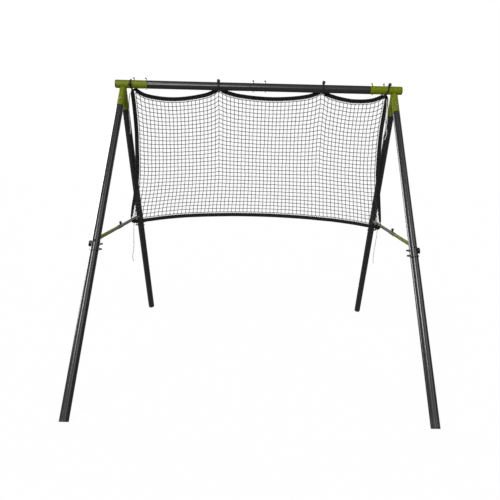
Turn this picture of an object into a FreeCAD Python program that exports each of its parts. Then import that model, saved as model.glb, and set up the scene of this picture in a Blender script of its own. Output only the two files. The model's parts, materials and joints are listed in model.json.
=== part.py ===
import FreeCAD, Part
import Sketcher
import math
import os
from FreeCAD import Placement, Rotation, Vector

# A pitch back rebounder: an A-frame of bolted steel tubes that stands on four square-cut
# feet and holds a slanted square-mesh net. Millimetres, +Z up, the net's face towards -Y,
# origin on the ground at the middle of the frame.

SIZES = (
    # Crossbar and the sleeves that hold its ends
    ("bar_diameter", 60.0),
    ("bar_wall", 2.0),
    ("bar_lap", 126.0),
    ("bar_bolt_spread", 87.0),
    ("leg_plane", 990.0),
    ("sleeve_in", 178.0),
    ("sleeve_out", 49.0),
    ("sleeve_neck", 128.0),
    ("sleeve_bolt_near", 14.0),
    ("sleeve_bolt_far", 101.0),
    ("plug_rim", 6.0),
    ("plug_chamfer", 3.0),
    ("plug_depth", 22.0),
    ("plug_wall", 2.5),
    # Legs and the sockets that take them
    ("apex_drop", 35.0),
    ("socket_reach", 152.0),
    ("socket_overrun", 10.0),
    ("socket_bolt_up", 47.0),
    ("leg_diameter", 51.0),
    ("leg_wall", 2.0),
    ("leg_lean", 29.3),
    ("upper_leg", 1088.0),
    ("lower_leg", 948.0),
    ("top_neck", 90.0),
    ("joint_neck", 54.0),
    ("swage_taper", 4.0),
    ("joint_bolt_low", 12.0),
    ("joint_bolt_high", 46.0),
    ("foot_flange", 5.0),
    ("foot_plug", 25.0),
    ("foot_chamfer", 1.0),
    ("foot_flat", 1.5),
    # Side braces
    ("brace_rise_front", 75.0),
    ("brace_rise_rear", 109.0),
    ("brace_diameter", 24.0),
    ("brace_wall", 2.0),
    ("brace_mouth_diameter", 28.0),
    ("brace_mouth_depth", 105.0),
    ("brace_lap", 95.0),
    ("brace_flare", 6.0),
    ("brace_mouth_left", 86.0),
    ("brace_mouth_right", 142.0),
    ("brace_plug", 25.0),
    ("brace_knob_back", 56.0),
    ("brace_boss_diameter", 14.0),
    ("brace_boss_rise", 2.5),
    ("brace_ball_diameter", 20.0),
    ("brace_ball_rise", 27.0),
    ("brace_neck_diameter", 13.0),
    ("brace_screw_diameter", 6.0),
    ("saddle_diameter", 13.0),
    ("saddle_rise", 4.0),
    ("saddle_shank", 20.0),
    # Fasteners
    ("bolt_diameter", 8.0),
    ("hex_width", 13.0),
    ("head_height", 5.3),
    ("nut_height", 6.5),
    ("nut_flange_diameter", 18.0),
    ("nut_flange", 1.5),
    ("stem", 8.5),
    ("cap_diameter", 11.0),
    ("cap_length", 10.5),
    ("cap_rise", 1.5),
    ("cap_depth", 8.5),
    ("low_head_diameter", 12.0),
    ("low_head_height", 4.0),
    ("knob_diameter", 40.0),
    ("knob_height", 13.0),
    ("knob_round", 5.0),
    ("knob_flute", 34.0),
    ("knob_flute_out", 28.0),
    # Clearances
    ("over_cut", 2.0),
    ("slip_gap", 0.3),
    ("hole_gap", 0.3),
    ("run_gap", 0.08),
    ("seat_gap", 0.3),
    # Net, hems and the cords that hold it
    ("tie_setback", 217.4),
    ("hem_width", 30.0),
    ("hem_thickness", 3.0),
    ("net_thickness", 2.0),
    ("net_strand", 7.0),
    ("side_top_inset", 52.0),
    ("side_top_inset_right", 39.0),
    ("side_waist_inset", 62.0),
    ("side_waist_inset_right", 56.0),
    ("side_foot_outset", 7.0),
    ("side_foot_width", 14.0),
    ("side_foot_rise", 23.0),
    ("low_middle_rise", 75.0),
    ("low_end_inset", 34.0),
    ("corner_notch", 14.0),
    ("hang_drop_1", 16.0),
    ("hang_drop_2", 10.0),
    ("hang_drop_3", 8.0),
    ("hang_drop_4", 21.0),
    ("scallop_1", 75.0),
    ("scallop_2", 64.0),
    ("scallop_3", 61.0),
    ("bungee_1_inset", 62.0),
    ("bungee_1_slant", -5.0),
    ("bungee_2_place", 294.0),
    ("bungee_3_place", 470.0),
    ("bungee_4_inset", 57.0),
    ("bungee_4_slant", 15.5),
    ("ball_turn_1", 97.0),
    ("ball_turn_2", 45.0),
    ("ball_turn_3", 28.0),
    ("ball_turn_4", 37.0),
    ("ball_diameter", 25.0),
    ("ball_rise", 18.6),
    ("cord_diameter", 5.5),
    ("strand_spread", 5.8),
    ("hem_gather", 3.5),
    ("hem_gather_lean", 12.6),
    ("hem_top_overhang", 12.0),
    ("strap_drop_left", 35.0),
    ("strap_drop_right", 47.0),
    ("strap_tip", 8.0),
    ("strap_tip_inset", 5.0),
    ("strap_shoulder", 22.0),
    ("strap_spread", 20.0),
    ("strap_wall", 5.0),
    ("strap_clear", 1.3),
    ("tail_gap", 0.35),
)

NET_COLUMNS = 24
NET_ROWS = 12
KNOB_LOBES = 3
CORD_REACH = 0.45
SETTLING = 4
ROUNDING = 0.1

doc = FreeCAD.newDocument("Rebounder")
sheet = doc.addObject("Spreadsheet::Sheet", "Sizes")
for row, (alias, value) in enumerate(SIZES, start=1):
    sheet.set("A%d" % row, alias)
    sheet.set("B%d" % row, str(value))
    sheet.setAlias("B%d" % row, alias)
doc.recompute()

subparts = []


def size(alias):
    return float(sheet.get(alias))


def keep(item, label, where=None):
    """Name a finished sub-part and put it in its place."""
    item.Label = label
    if where is not None:
        item.Placement = where
    subparts.append(item)
    return item


# Helpers for sketched bodies
def body_plane(body, role):
    return [plane for plane in body.Origin.OriginFeatures if plane.Role == role][0]


def sketch_on(body, name, role):
    sketch = body.newObject("Sketcher::SketchObject", name)
    sketch.AttachmentSupport = [(body_plane(body, role), "")]
    sketch.MapMode = "FlatFace"
    return sketch


def bind_point(sketch, shape, point, across, along):
    """Hold one point of a sketch at two formulas measured from the sketch's origin."""
    for kind, formula in (("DistanceX", across), ("DistanceY", along)):
        value = float(sketch.evalExpression(formula))
        index = sketch.addConstraint(Sketcher.Constraint(kind, -1, 1, shape, point, value))
        name = "%s_%d_%d" % (kind, shape, point)
        sketch.renameConstraint(index, name)
        sketch.setExpression("Constraints." + name, formula)


def outline(sketch, corners):
    """A closed outline of straight lines, its corners given as pairs of formulas."""
    points = [Vector(float(sketch.evalExpression(a)), float(sketch.evalExpression(b)), 0) for a, b in corners]
    count = len(points)
    for i in range(count):
        sketch.addGeometry(Part.LineSegment(points[i], points[(i + 1) % count]), False)
    for i in range(count):
        sketch.addConstraint(Sketcher.Constraint("Coincident", i, 2, (i + 1) % count, 1))
    for i, (across, along) in enumerate(corners):
        bind_point(sketch, i, 1, across, along)


def turned_body(name, corners):
    """A body turned about its own Z axis from half a section: pairs of radius and height."""
    body = doc.addObject("PartDesign::Body", name)
    sketch = sketch_on(body, name + "_section", "XZ_Plane")
    outline(sketch, corners)
    turned = body.newObject("PartDesign::Revolution", name + "_turned")
    turned.Profile = sketch
    turned.ReferenceAxis = (sketch, ["V_Axis"])
    turned.Angle = 360
    doc.recompute()
    return body


def cross_drill(body, name, role, stations, radius):
    """Holes of one radius right through a body, square to its axis, at each station along it."""
    before = body.Shape.Volume
    sketch = sketch_on(body, name + "_holes", role)
    guess = float(sketch.evalExpression(radius))
    for station in stations:
        height = float(sketch.evalExpression(station))
        circle = sketch.addGeometry(Part.Circle(Vector(0, height, 0), Vector(0, 0, 1), guess), False)
        index = sketch.addConstraint(Sketcher.Constraint("Radius", circle, guess))
        sketch.renameConstraint(index, "radius_%d" % circle)
        sketch.setExpression("Constraints.radius_%d" % circle, radius)
        bind_point(sketch, circle, 3, "0", station)
    drilled = body.newObject("PartDesign::Pocket", name)
    drilled.Profile = sketch
    drilled.Type = "ThroughAll"
    drilled.SideType = "Symmetric"
    doc.recompute()
    if body.Shape.Volume >= before:
        raise RuntimeError(name + " cut nothing")


# Helpers for primitives and booleans
def primitive(kind, name, where=None, **formulas):
    item = doc.addObject("Part::" + kind, name)
    for field, formula in formulas.items():
        item.setExpression(field, formula)
    if where is not None:
        item.Placement = where
    return item


def fused(name, items):
    item = doc.addObject("Part::MultiFuse", name)
    item.Shapes = items
    return item


def cut(name, base, tool):
    item = doc.addObject("Part::Cut", name)
    item.Base = base
    item.Tool = tool
    return item


def shared(name, base, tool):
    item = doc.addObject("Part::Common", name)
    item.Base = base
    item.Tool = tool
    return item


def grouped(name, items):
    item = doc.addObject("Part::Compound", name)
    item.Links = items
    return item


def at(x, y, z, rotation=None):
    return Placement(Vector(x, y, z), rotation or Rotation())


def unit(vector):
    return vector * (1 / vector.Length)


def along(direction):
    """The turn that points a piece's Z axis in a direction."""
    return Rotation(Vector(0, 0, 1), direction)


# Places shared by the sub-parts, worked out from the driving sizes
lean = math.radians(size("leg_lean"))
lean_sin = math.sin(lean)
lean_cos = math.cos(lean)
leg_radius = size("leg_diameter") / 2
bar_radius = size("bar_diameter") / 2
leg_axis = size("foot_flange") + size("lower_leg") + size("upper_leg") + size("socket_reach")
foot_height = leg_radius * lean_sin - size("foot_flat")
foot_out = leg_axis * lean_sin
apex_height = foot_height + leg_axis * lean_cos
bar_height = apex_height + size("apex_drop")
leg_plane = size("leg_plane")
seat_gap = size("seat_gap")

TURN_BACK = Rotation(Vector(0, 0, 1), 180)
FRONT = Rotation(Vector(1, 0, 0), -size("leg_lean"))
LEGS = {
    "front_left": (-1, -1),
    "front_right": (1, -1),
    "rear_left": (-1, 1),
    "rear_right": (1, 1),
}


def leg_turn(end):
    """A leg's own Z runs up it and its Y points to the inside of the A."""
    return FRONT if end < 0 else TURN_BACK.multiply(FRONT)


def up_leg(side, end, distance):
    """The point on a leg's axis at a distance from its foot."""
    rise = Vector(0, -end * lean_sin, lean_cos)
    return Vector(side * leg_plane, end * foot_out, foot_height) + rise * distance


joint_station = size("foot_flange") + size("lower_leg")


def brace_hold(side, end):
    """Where a brace's axis meets a leg's axis."""
    rise = size("brace_rise_front" if end < 0 else "brace_rise_rear")
    return up_leg(side, end, joint_station + rise)


brace_front = brace_hold(1, -1)
brace_rear = brace_hold(1, 1)
brace_tilt = math.atan2(brace_rear.z - brace_front.z, brace_rear.y - brace_front.y)
brace_way = Vector(0, math.cos(brace_tilt), math.sin(brace_tilt))
brace_up = Vector(0, -math.sin(brace_tilt), math.cos(brace_tilt))


def on_brace(side, y, rise=0.0):
    """A point of a side brace's axis, or above it, from its distance behind the frame's middle."""
    distance = (y - brace_front.y) / brace_way.y
    point = Vector(side * leg_plane, brace_front.y, brace_front.z) + brace_way * distance
    return point + brace_up * rise


# Crossbar: two tubes, the left one swaged down to slip into the right one
BAR_R = "Sizes.bar_diameter / 2"
BAR_BORE = "(Sizes.bar_diameter / 2 - Sizes.bar_wall)"
BAR_NECK = "(Sizes.bar_diameter / 2 - Sizes.bar_wall - Sizes.slip_gap)"
BAR_NECK_BORE = "(Sizes.bar_diameter / 2 - 2 * Sizes.bar_wall - Sizes.slip_gap)"
BOLT_HOLE = "Sizes.bolt_diameter / 2 + Sizes.hole_gap"
STUD_HOLE = "Sizes.bolt_diameter / 2 + Sizes.run_gap"
BAR_OUT = "(Sizes.leg_plane - Sizes.sleeve_in)"


def crossbar():
    run = "(%s - Sizes.bar_lap / 2)" % BAR_OUT
    left = turned_body("crossbar_left", [
        (BAR_NECK, "-Sizes.sleeve_neck"),
        (BAR_NECK, "0"),
        (BAR_R, "Sizes.swage_taper"),
        (BAR_R, run + " - Sizes.swage_taper"),
        (BAR_NECK, run),
        (BAR_NECK, run + " + Sizes.bar_lap"),
        (BAR_NECK_BORE, run + " + Sizes.bar_lap"),
        (BAR_NECK_BORE, run),
        (BAR_BORE, run + " - Sizes.swage_taper"),
        (BAR_BORE, "Sizes.swage_taper"),
        (BAR_NECK_BORE, "0"),
        (BAR_NECK_BORE, "-Sizes.sleeve_neck"),
    ])
    middle = "(%s)" % BAR_OUT
    cross_drill(left, "crossbar_left_drilled", "YZ_Plane", [
        "-Sizes.sleeve_bolt_near",
        "-Sizes.sleeve_bolt_far",
        middle + " - Sizes.bar_bolt_spread / 2",
        middle + " + Sizes.bar_bolt_spread / 2",
    ], BOLT_HOLE)
    outward = leg_plane - size("sleeve_in")
    keep(left, "crossbar_left", at(-outward, 0, bar_height, along(Vector(1, 0, 0))))
    length = "(%s + Sizes.bar_lap / 2)" % BAR_OUT
    right = turned_body("crossbar_right", [
        (BAR_NECK, "-Sizes.sleeve_neck"),
        (BAR_NECK, "0"),
        (BAR_R, "Sizes.swage_taper"),
        (BAR_R, length),
        (BAR_BORE, length),
        (BAR_BORE, "Sizes.swage_taper"),
        (BAR_NECK_BORE, "0"),
        (BAR_NECK_BORE, "-Sizes.sleeve_neck"),
    ])
    cross_drill(right, "crossbar_right_drilled", "YZ_Plane", [
        "-Sizes.sleeve_bolt_near",
        "-Sizes.sleeve_bolt_far",
        middle + " - Sizes.bar_bolt_spread / 2",
        middle + " + Sizes.bar_bolt_spread / 2",
    ], BOLT_HOLE)
    keep(right, "crossbar_right", at(outward, 0, bar_height, along(Vector(-1, 0, 0))))


# Corner bracket: a sleeve for the bar with two leg sockets coped and welded under it
def half_socket(name, radius, end, reach):
    """One leg socket, from inside the sleeve down to its mouth, on its own side of the middle."""
    down = Vector(0, end * lean_sin, -lean_cos)
    start = Vector(0, 0, -size("apex_drop")) - down * size("socket_overrun")
    tube = primitive("Cylinder", name + "_round", at(start.x, start.y, start.z, along(down)),
                     Radius=radius, Height=reach)
    block = primitive("Box", name + "_side", Length="2 * Sizes.leg_diameter",
                      Width="2 * Sizes.socket_reach", Height="2 * Sizes.socket_reach")
    depth = 2 * size("socket_reach")
    block.Placement = at(-size("leg_diameter"), -depth if end < 0 else 0, -depth)
    return shared(name, tube, block)


def corner_bracket(label, side):
    reach = "Sizes.socket_reach + Sizes.socket_overrun"
    bore = "Sizes.leg_diameter / 2 - Sizes.leg_wall"
    level = along(Vector(1, 0, 0))
    sleeve = primitive("Cylinder", label + "_sleeve", at(-size("sleeve_in"), 0, 0, level),
                       Radius=BAR_R, Height="Sizes.sleeve_in + Sizes.sleeve_out")
    keep_out = primitive("Cylinder", label + "_sleeve_solid", at(-size("sleeve_in"), 0, 0, level),
                         Radius=BAR_R, Height="Sizes.sleeve_in + Sizes.sleeve_out")
    inside = primitive("Cylinder", label + "_sleeve_bore", at(-size("sleeve_in"), 0, 0, level),
                       Radius=BAR_BORE, Height="Sizes.sleeve_in + Sizes.sleeve_out")
    sockets = [half_socket("%s_socket_%d" % (label, i), "Sizes.leg_diameter / 2", end, reach)
               for i, end in enumerate((-1, 1))]
    bores = [half_socket("%s_bore_%d" % (label, i), bore, end, reach) for i, end in enumerate((-1, 1))]
    holes = []
    for i, back in enumerate(("sleeve_bolt_near", "sleeve_bolt_far")):
        x = size(back) - size("sleeve_in")
        holes.append(primitive("Cylinder", "%s_hole_%d" % (label, i), at(x, 0, -bar_radius - size("over_cut")),
                               Radius=BOLT_HOLE, Height="Sizes.bar_diameter + 2 * Sizes.over_cut"))
    for i, end in enumerate((-1, 1)):
        down = Vector(0, end * lean_sin, -lean_cos)
        outward = Vector(0, end * lean_cos, lean_sin)
        centre = Vector(0, 0, -size("apex_drop")) + down * (size("socket_reach") - size("socket_bolt_up"))
        start = centre - outward * size("leg_diameter")
        holes.append(primitive("Cylinder", "%s_socket_hole_%d" % (label, i),
                               at(start.x, start.y, start.z, along(outward)),
                               Radius=BOLT_HOLE, Height="2 * Sizes.leg_diameter"))
    solid = fused(label + "_welded", [sleeve] + sockets)
    hollow = cut(label + "_socket_hollow", fused(label + "_bores", bores), keep_out)
    tools = fused(label + "_tools", [hollow, inside] + holes)
    turn = Rotation() if side > 0 else TURN_BACK
    keep(cut(label, solid, tools), label, at(side * leg_plane, 0, bar_height, turn))


def sleeve_plugs():
    """The caps that close the sleeves' outer ends: a rim as wide as the sleeve, and a hollow plug."""
    caps = []
    for name, side in (("left", -1), ("right", 1)):
        cap = turned_body("sleeve_plug_" + name, [
            ("0", "0"),
            (BAR_R + " - Sizes.plug_chamfer", "0"),
            (BAR_R, "Sizes.plug_chamfer"),
            (BAR_R, "Sizes.plug_rim"),
            (BAR_BORE + " - Sizes.slip_gap", "Sizes.plug_rim"),
            (BAR_BORE + " - Sizes.slip_gap", "Sizes.plug_depth"),
            (BAR_BORE + " - Sizes.slip_gap - Sizes.plug_wall", "Sizes.plug_depth"),
            (BAR_BORE + " - Sizes.slip_gap - Sizes.plug_wall", "Sizes.plug_rim"),
            ("0", "Sizes.plug_rim"),
        ])
        x = side * (leg_plane + size("sleeve_out") + size("plug_rim"))
        cap.Placement = at(x, 0, bar_height, along(Vector(-side, 0, 0)))
        caps.append(cap)
    keep(grouped("sleeve_plugs", caps), "sleeve_plugs")


# Legs: an upper and a lower tube each, swaged where they slip together, and a foot cap
LEG_R = "Sizes.leg_diameter / 2"
LEG_BORE = "(Sizes.leg_diameter / 2 - Sizes.leg_wall)"
LEG_NECK = "(Sizes.leg_diameter / 2 - Sizes.leg_wall - Sizes.slip_gap)"
LEG_NECK_BORE = "(Sizes.leg_diameter / 2 - 2 * Sizes.leg_wall - Sizes.slip_gap)"


def upper_leg(label, side, end):
    body = turned_body(label + "_tube", [
        (LEG_R, "0"),
        (LEG_R, "Sizes.upper_leg - Sizes.swage_taper"),
        (LEG_NECK, "Sizes.upper_leg"),
        (LEG_NECK, "Sizes.upper_leg + Sizes.top_neck"),
        (LEG_NECK_BORE, "Sizes.upper_leg + Sizes.top_neck"),
        (LEG_NECK_BORE, "Sizes.upper_leg"),
        (LEG_BORE, "Sizes.upper_leg - Sizes.swage_taper"),
        (LEG_BORE, "0"),
    ])
    cross_drill(body, label + "_low_hole", "YZ_Plane", ["Sizes.joint_bolt_low"], BOLT_HOLE)
    cross_drill(body, label + "_high_hole", "YZ_Plane", ["Sizes.joint_bolt_high"], STUD_HOLE)
    cross_drill(body, label + "_top_hole", "XZ_Plane", ["Sizes.upper_leg + Sizes.socket_bolt_up"], BOLT_HOLE)
    angle = lean - end * brace_tilt
    through = Vector(0, math.cos(angle), math.sin(angle))
    centre = Vector(0, 0, size("brace_rise_front" if end < 0 else "brace_rise_rear"))
    start = centre - through * size("leg_diameter")
    hole = primitive("Cylinder", label + "_brace_hole", at(start.x, start.y, start.z, along(through)),
                     Radius=BOLT_HOLE, Height="2 * Sizes.leg_diameter")
    keep(cut(label, body, hole), label, Placement(up_leg(side, end, joint_station), leg_turn(end)))


def lower_leg(label, side, end):
    body = turned_body(label, [
        (LEG_R, "0"),
        (LEG_R, "Sizes.lower_leg - Sizes.swage_taper"),
        (LEG_NECK, "Sizes.lower_leg"),
        (LEG_NECK, "Sizes.lower_leg + Sizes.joint_neck"),
        (LEG_NECK_BORE, "Sizes.lower_leg + Sizes.joint_neck"),
        (LEG_NECK_BORE, "Sizes.lower_leg"),
        (LEG_BORE, "Sizes.lower_leg - Sizes.swage_taper"),
        (LEG_BORE, "0"),
    ])
    cross_drill(body, label + "_low_hole", "YZ_Plane", ["Sizes.lower_leg + Sizes.joint_bolt_low"], BOLT_HOLE)
    cross_drill(body, label + "_high_hole", "YZ_Plane", ["Sizes.lower_leg + Sizes.joint_bolt_high"], STUD_HOLE)
    keep(body, label, Placement(up_leg(side, end, size("foot_flange")), leg_turn(end)))


def foot_cap(label, side, end):
    """A push-in cap on the tube's square end, worn to a small level face where it meets the ground."""
    plug = "(Sizes.leg_diameter / 2 - Sizes.leg_wall - Sizes.slip_gap)"
    body = turned_body(label + "_round", [
        ("0", "0"),
        (LEG_R + " - Sizes.foot_chamfer", "0"),
        (LEG_R, "Sizes.foot_chamfer"),
        (LEG_R, "Sizes.foot_flange"),
        (plug, "Sizes.foot_flange"),
        (plug, "Sizes.foot_flange + Sizes.foot_plug"),
        (plug + " - Sizes.plug_wall", "Sizes.foot_flange + Sizes.foot_plug"),
        (plug + " - Sizes.plug_wall", "Sizes.foot_flange"),
        ("0", "Sizes.foot_flange"),
    ])
    ground = Vector(0, -lean_sin, lean_cos)
    block = primitive("Box", label + "_ground", Length="2 * Sizes.leg_diameter",
                      Width="2 * Sizes.leg_diameter", Height="Sizes.leg_diameter")
    turn = Rotation(Vector(1, 0, 0), size("leg_lean"))
    width = size("leg_diameter")
    corner = ground * -foot_height + turn.multVec(Vector(-width, -width, -width))
    block.Placement = Placement(corner, turn)
    keep(cut(label, body, block), label, Placement(up_leg(side, end, 0), leg_turn(end)))


# Fasteners, each made along its own Z axis with the face that it seats on at zero
SHANK = "Sizes.bolt_diameter / 2"


def hex_bolt(name, grip, where):
    """A hexagon bolt: head below zero, shank through the grip and a nut, with a bare stem past it."""
    head = primitive("Prism", name + "_head", at(0, 0, -size("head_height")),
                     Circumradius="Sizes.hex_width / sqrt(3)", Height="Sizes.head_height")
    shank = primitive("Cylinder", name + "_shank", Radius=SHANK,
                      Height=grip + " + Sizes.nut_height + Sizes.stem")
    bolt = fused(name, [head, shank])
    bolt.Placement = where
    return bolt


def round_bolt(name, grip, where):
    head = primitive("Cylinder", name + "_head", at(0, 0, -size("low_head_height")),
                     Radius="Sizes.low_head_diameter / 2", Height="Sizes.low_head_height")
    shank = primitive("Cylinder", name + "_shank", Radius=SHANK,
                      Height=grip + " + Sizes.nut_height + Sizes.stem")
    bolt = fused(name, [head, shank])
    bolt.Placement = where
    return bolt


def hex_nut(name, where, flanged=False):
    hexagon = primitive("Prism", name + "_hex", Circumradius="Sizes.hex_width / sqrt(3)",
                        Height="Sizes.nut_height")
    bore = primitive("Cylinder", name + "_bore", at(0, 0, -size("over_cut")), Radius=STUD_HOLE,
                     Height="Sizes.nut_height + 2 * Sizes.over_cut")
    solid = hexagon
    if flanged:
        flange = primitive("Cone", name + "_flange", Radius1="Sizes.nut_flange_diameter / 2",
                           Radius2="Sizes.hex_width / 2", Height="2 * Sizes.nut_flange")
        solid = fused(name + "_solid", [hexagon, flange])
    nut = cut(name, solid, bore)
    nut.Placement = where
    return nut


def thread_cap(name, where):
    """A push-on cap that covers a bolt's bare thread."""
    cup = primitive("Cylinder", name + "_cup", Radius="Sizes.cap_diameter / 2", Height="Sizes.cap_length")
    bore = primitive("Cylinder", name + "_bore", at(0, 0, -size("over_cut")),
                     Radius="Sizes.bolt_diameter / 2 + 2 * Sizes.run_gap",
                     Height="Sizes.cap_depth + Sizes.over_cut")
    cap = cut(name, cup, bore)
    cap.Placement = where
    return cap


def beyond(where, distance):
    """The same place, moved along its own Z axis."""
    return where.multiply(at(0, 0, distance))


def frame_fasteners():
    bar_bolts = []
    frame_nuts = []
    caps = []
    grip = size("bar_diameter") + 2 * seat_gap
    inner = size("bar_bolt_spread") / 2
    near = leg_plane - size("sleeve_in") + size("sleeve_bolt_near")
    far = leg_plane - size("sleeve_in") + size("sleeve_bolt_far")
    for i, x in enumerate((-far, -near, -inner, inner, near, far)):
        seat = at(x, 0, bar_height - bar_radius - seat_gap)
        bar_bolts.append(hex_bolt("bar_bolt_%d" % i, "Sizes.bar_diameter + 2 * Sizes.seat_gap", seat))
        frame_nuts.append(hex_nut("bar_nut_%d" % i, beyond(seat, grip)))
        caps.append(thread_cap("bar_cap_%d" % i, beyond(seat, grip + size("nut_height") + size("cap_rise"))))
    keep(grouped("bar_bolts", bar_bolts), "bar_bolts")

    socket_bolts = []
    joint_bolts = []
    joint_nuts = []
    leg_grip = size("leg_diameter") + 2 * seat_gap
    for i, (name, (side, end)) in enumerate(LEGS.items()):
        inward = Vector(0, -end * lean_cos, -lean_sin)
        centre = up_leg(side, end, joint_station + size("upper_leg") + size("socket_bolt_up"))
        seat = Placement(centre - inward * (leg_radius + seat_gap), along(inward))
        socket_bolts.append(hex_bolt("socket_bolt_%d" % i, "Sizes.leg_diameter + 2 * Sizes.seat_gap", seat))
        frame_nuts.append(hex_nut("socket_nut_%d" % i, beyond(seat, leg_grip)))
        for level in ("joint_bolt_low", "joint_bolt_high"):
            middle = Vector(-side, 0, 0)
            if level == "joint_bolt_low" and end > 0:
                middle = Vector(side, 0, 0)
            centre = up_leg(side, end, joint_station + size(level))
            seat = Placement(centre - middle * (leg_radius + seat_gap), along(middle))
            if level == "joint_bolt_low":
                joint_bolts.append(round_bolt("joint_bolt_%d" % i, "Sizes.leg_diameter + 2 * Sizes.seat_gap", seat))
            joint_nuts.append(hex_nut("%s_nut_%d" % (level, i), beyond(seat, leg_grip), flanged=True))
            rise = leg_grip + size("nut_height") + size("cap_rise")
            caps.append(thread_cap("%s_cap_%d" % (level, i), beyond(seat, rise)))
    keep(grouped("socket_bolts", socket_bolts), "socket_bolts")
    keep(grouped("frame_nuts", frame_nuts), "frame_nuts")
    keep(grouped("joint_bolts", joint_bolts), "joint_bolts")
    keep(grouped("joint_nuts", joint_nuts), "joint_nuts")
    keep(grouped("thread_caps", caps), "thread_caps")


# Hand knobs at the legs' slip joints: a domed, three-lobed grip moulded on a stud that crosses the leg
def joint_knob(name, side, end):
    centre = up_leg(side, end, joint_station + size("joint_bolt_high"))
    outward = Vector(side, 0, 0)
    seat = Placement(centre + outward * (leg_radius + seat_gap), along(outward))
    grip = turned_body("joint_knob_" + name, [
        (STUD_HOLE, "0"),
        ("Sizes.knob_diameter / 2", "0"),
        ("Sizes.knob_diameter / 2", "Sizes.knob_height"),
        ("0", "Sizes.knob_height"),
        ("0", "Sizes.knob_height / 2"),
        (STUD_HOLE, "Sizes.knob_height / 2"),
    ])
    plain = grip.Tip
    rim = size("knob_diameter") / 2 - ROUNDING
    edges = []
    for i, edge in enumerate(grip.Shape.Edges, start=1):
        box = edge.BoundBox
        if box.ZMin > size("knob_height") - ROUNDING and box.XMax > rim:
            edges.append("Edge%d" % i)
    dome = grip.newObject("PartDesign::Fillet", "joint_knob_dome_" + name)
    dome.Base = (plain, edges)
    dome.setExpression("Radius", "Sizes.knob_round")
    grip.Tip = dome
    doc.recompute()
    before = grip.Shape.Volume
    flute = sketch_on(grip, "joint_knob_flute_" + name, "XY_Plane")
    out = side * size("knob_flute_out")
    circle = flute.addGeometry(Part.Circle(Vector(out, 0, 0), Vector(0, 0, 1), size("knob_flute") / 2), False)
    index = flute.addConstraint(Sketcher.Constraint("Radius", circle, size("knob_flute") / 2))
    flute.renameConstraint(index, "radius")
    flute.setExpression("Constraints.radius", "Sizes.knob_flute / 2")
    bind_point(flute, circle, 3, "%d * Sizes.knob_flute_out" % side, "0")
    groove = grip.newObject("PartDesign::Pocket", "joint_knob_groove_" + name)
    groove.Profile = flute
    groove.Type = "ThroughAll"
    groove.SideType = "Symmetric"
    ring = grip.newObject("PartDesign::PolarPattern", "joint_knob_ring_" + name)
    ring.Originals = [groove]
    ring.Axis = (flute, ["N_Axis"])
    ring.Angle = 360
    ring.Occurrences = KNOB_LOBES
    grip.Tip = ring
    doc.recompute()
    if grip.Shape.Volume >= before:
        raise RuntimeError("the knob's flutes cut nothing")
    keep(grip, "joint_knob_" + name, seat)

    stud = primitive("Cylinder", "joint_stud_" + name, Radius=SHANK,
                     Height="Sizes.leg_diameter + 2 * Sizes.seat_gap + Sizes.nut_height + Sizes.stem"
                            " + Sizes.knob_height / 2 - Sizes.run_gap")
    base = beyond(seat, size("knob_height") / 2 - size("run_gap"))
    keep(stud, "joint_stud_" + name, Placement(base.Base, along(outward * -1)))


# Side braces: a plain front tube that slides into a rear tube with a widened mouth.
# They rise a little to the rear, so each end meets its leg at its own angle.
LEAN = "Sizes.leg_lean * 1deg"
FRONT_REACH = "((Sizes.upper_leg + Sizes.socket_reach - Sizes.brace_rise_front) * sin(%s))" % LEAN
REAR_REACH = "((Sizes.upper_leg + Sizes.socket_reach - Sizes.brace_rise_rear) * sin(%s))" % LEAN
TILT = ("atan((Sizes.brace_rise_rear - Sizes.brace_rise_front) * cos(%s) / (%s + %s))"
        % (LEAN, FRONT_REACH, REAR_REACH))


def half_leg(end):
    """Half a leg's thickness, measured along a brace."""
    return "(Sizes.leg_diameter / 2 / cos(%s %s %s))" % (LEAN, "+" if end < 0 else "-", TILT)


def leg_cope(name, lean_side, end):
    """The round of a leg and its gap, as the brace's end sees it: the brace runs along its own Z."""
    angle = lean - end * brace_tilt
    direction = Vector(0, lean_side * math.cos(angle), math.sin(angle))
    start = direction * -(4 * size("leg_diameter"))
    return primitive("Cylinder", name, at(start.x, start.y, start.z, along(direction)),
                     Radius="Sizes.leg_diameter / 2 + Sizes.seat_gap", Height="8 * Sizes.leg_diameter")


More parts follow.
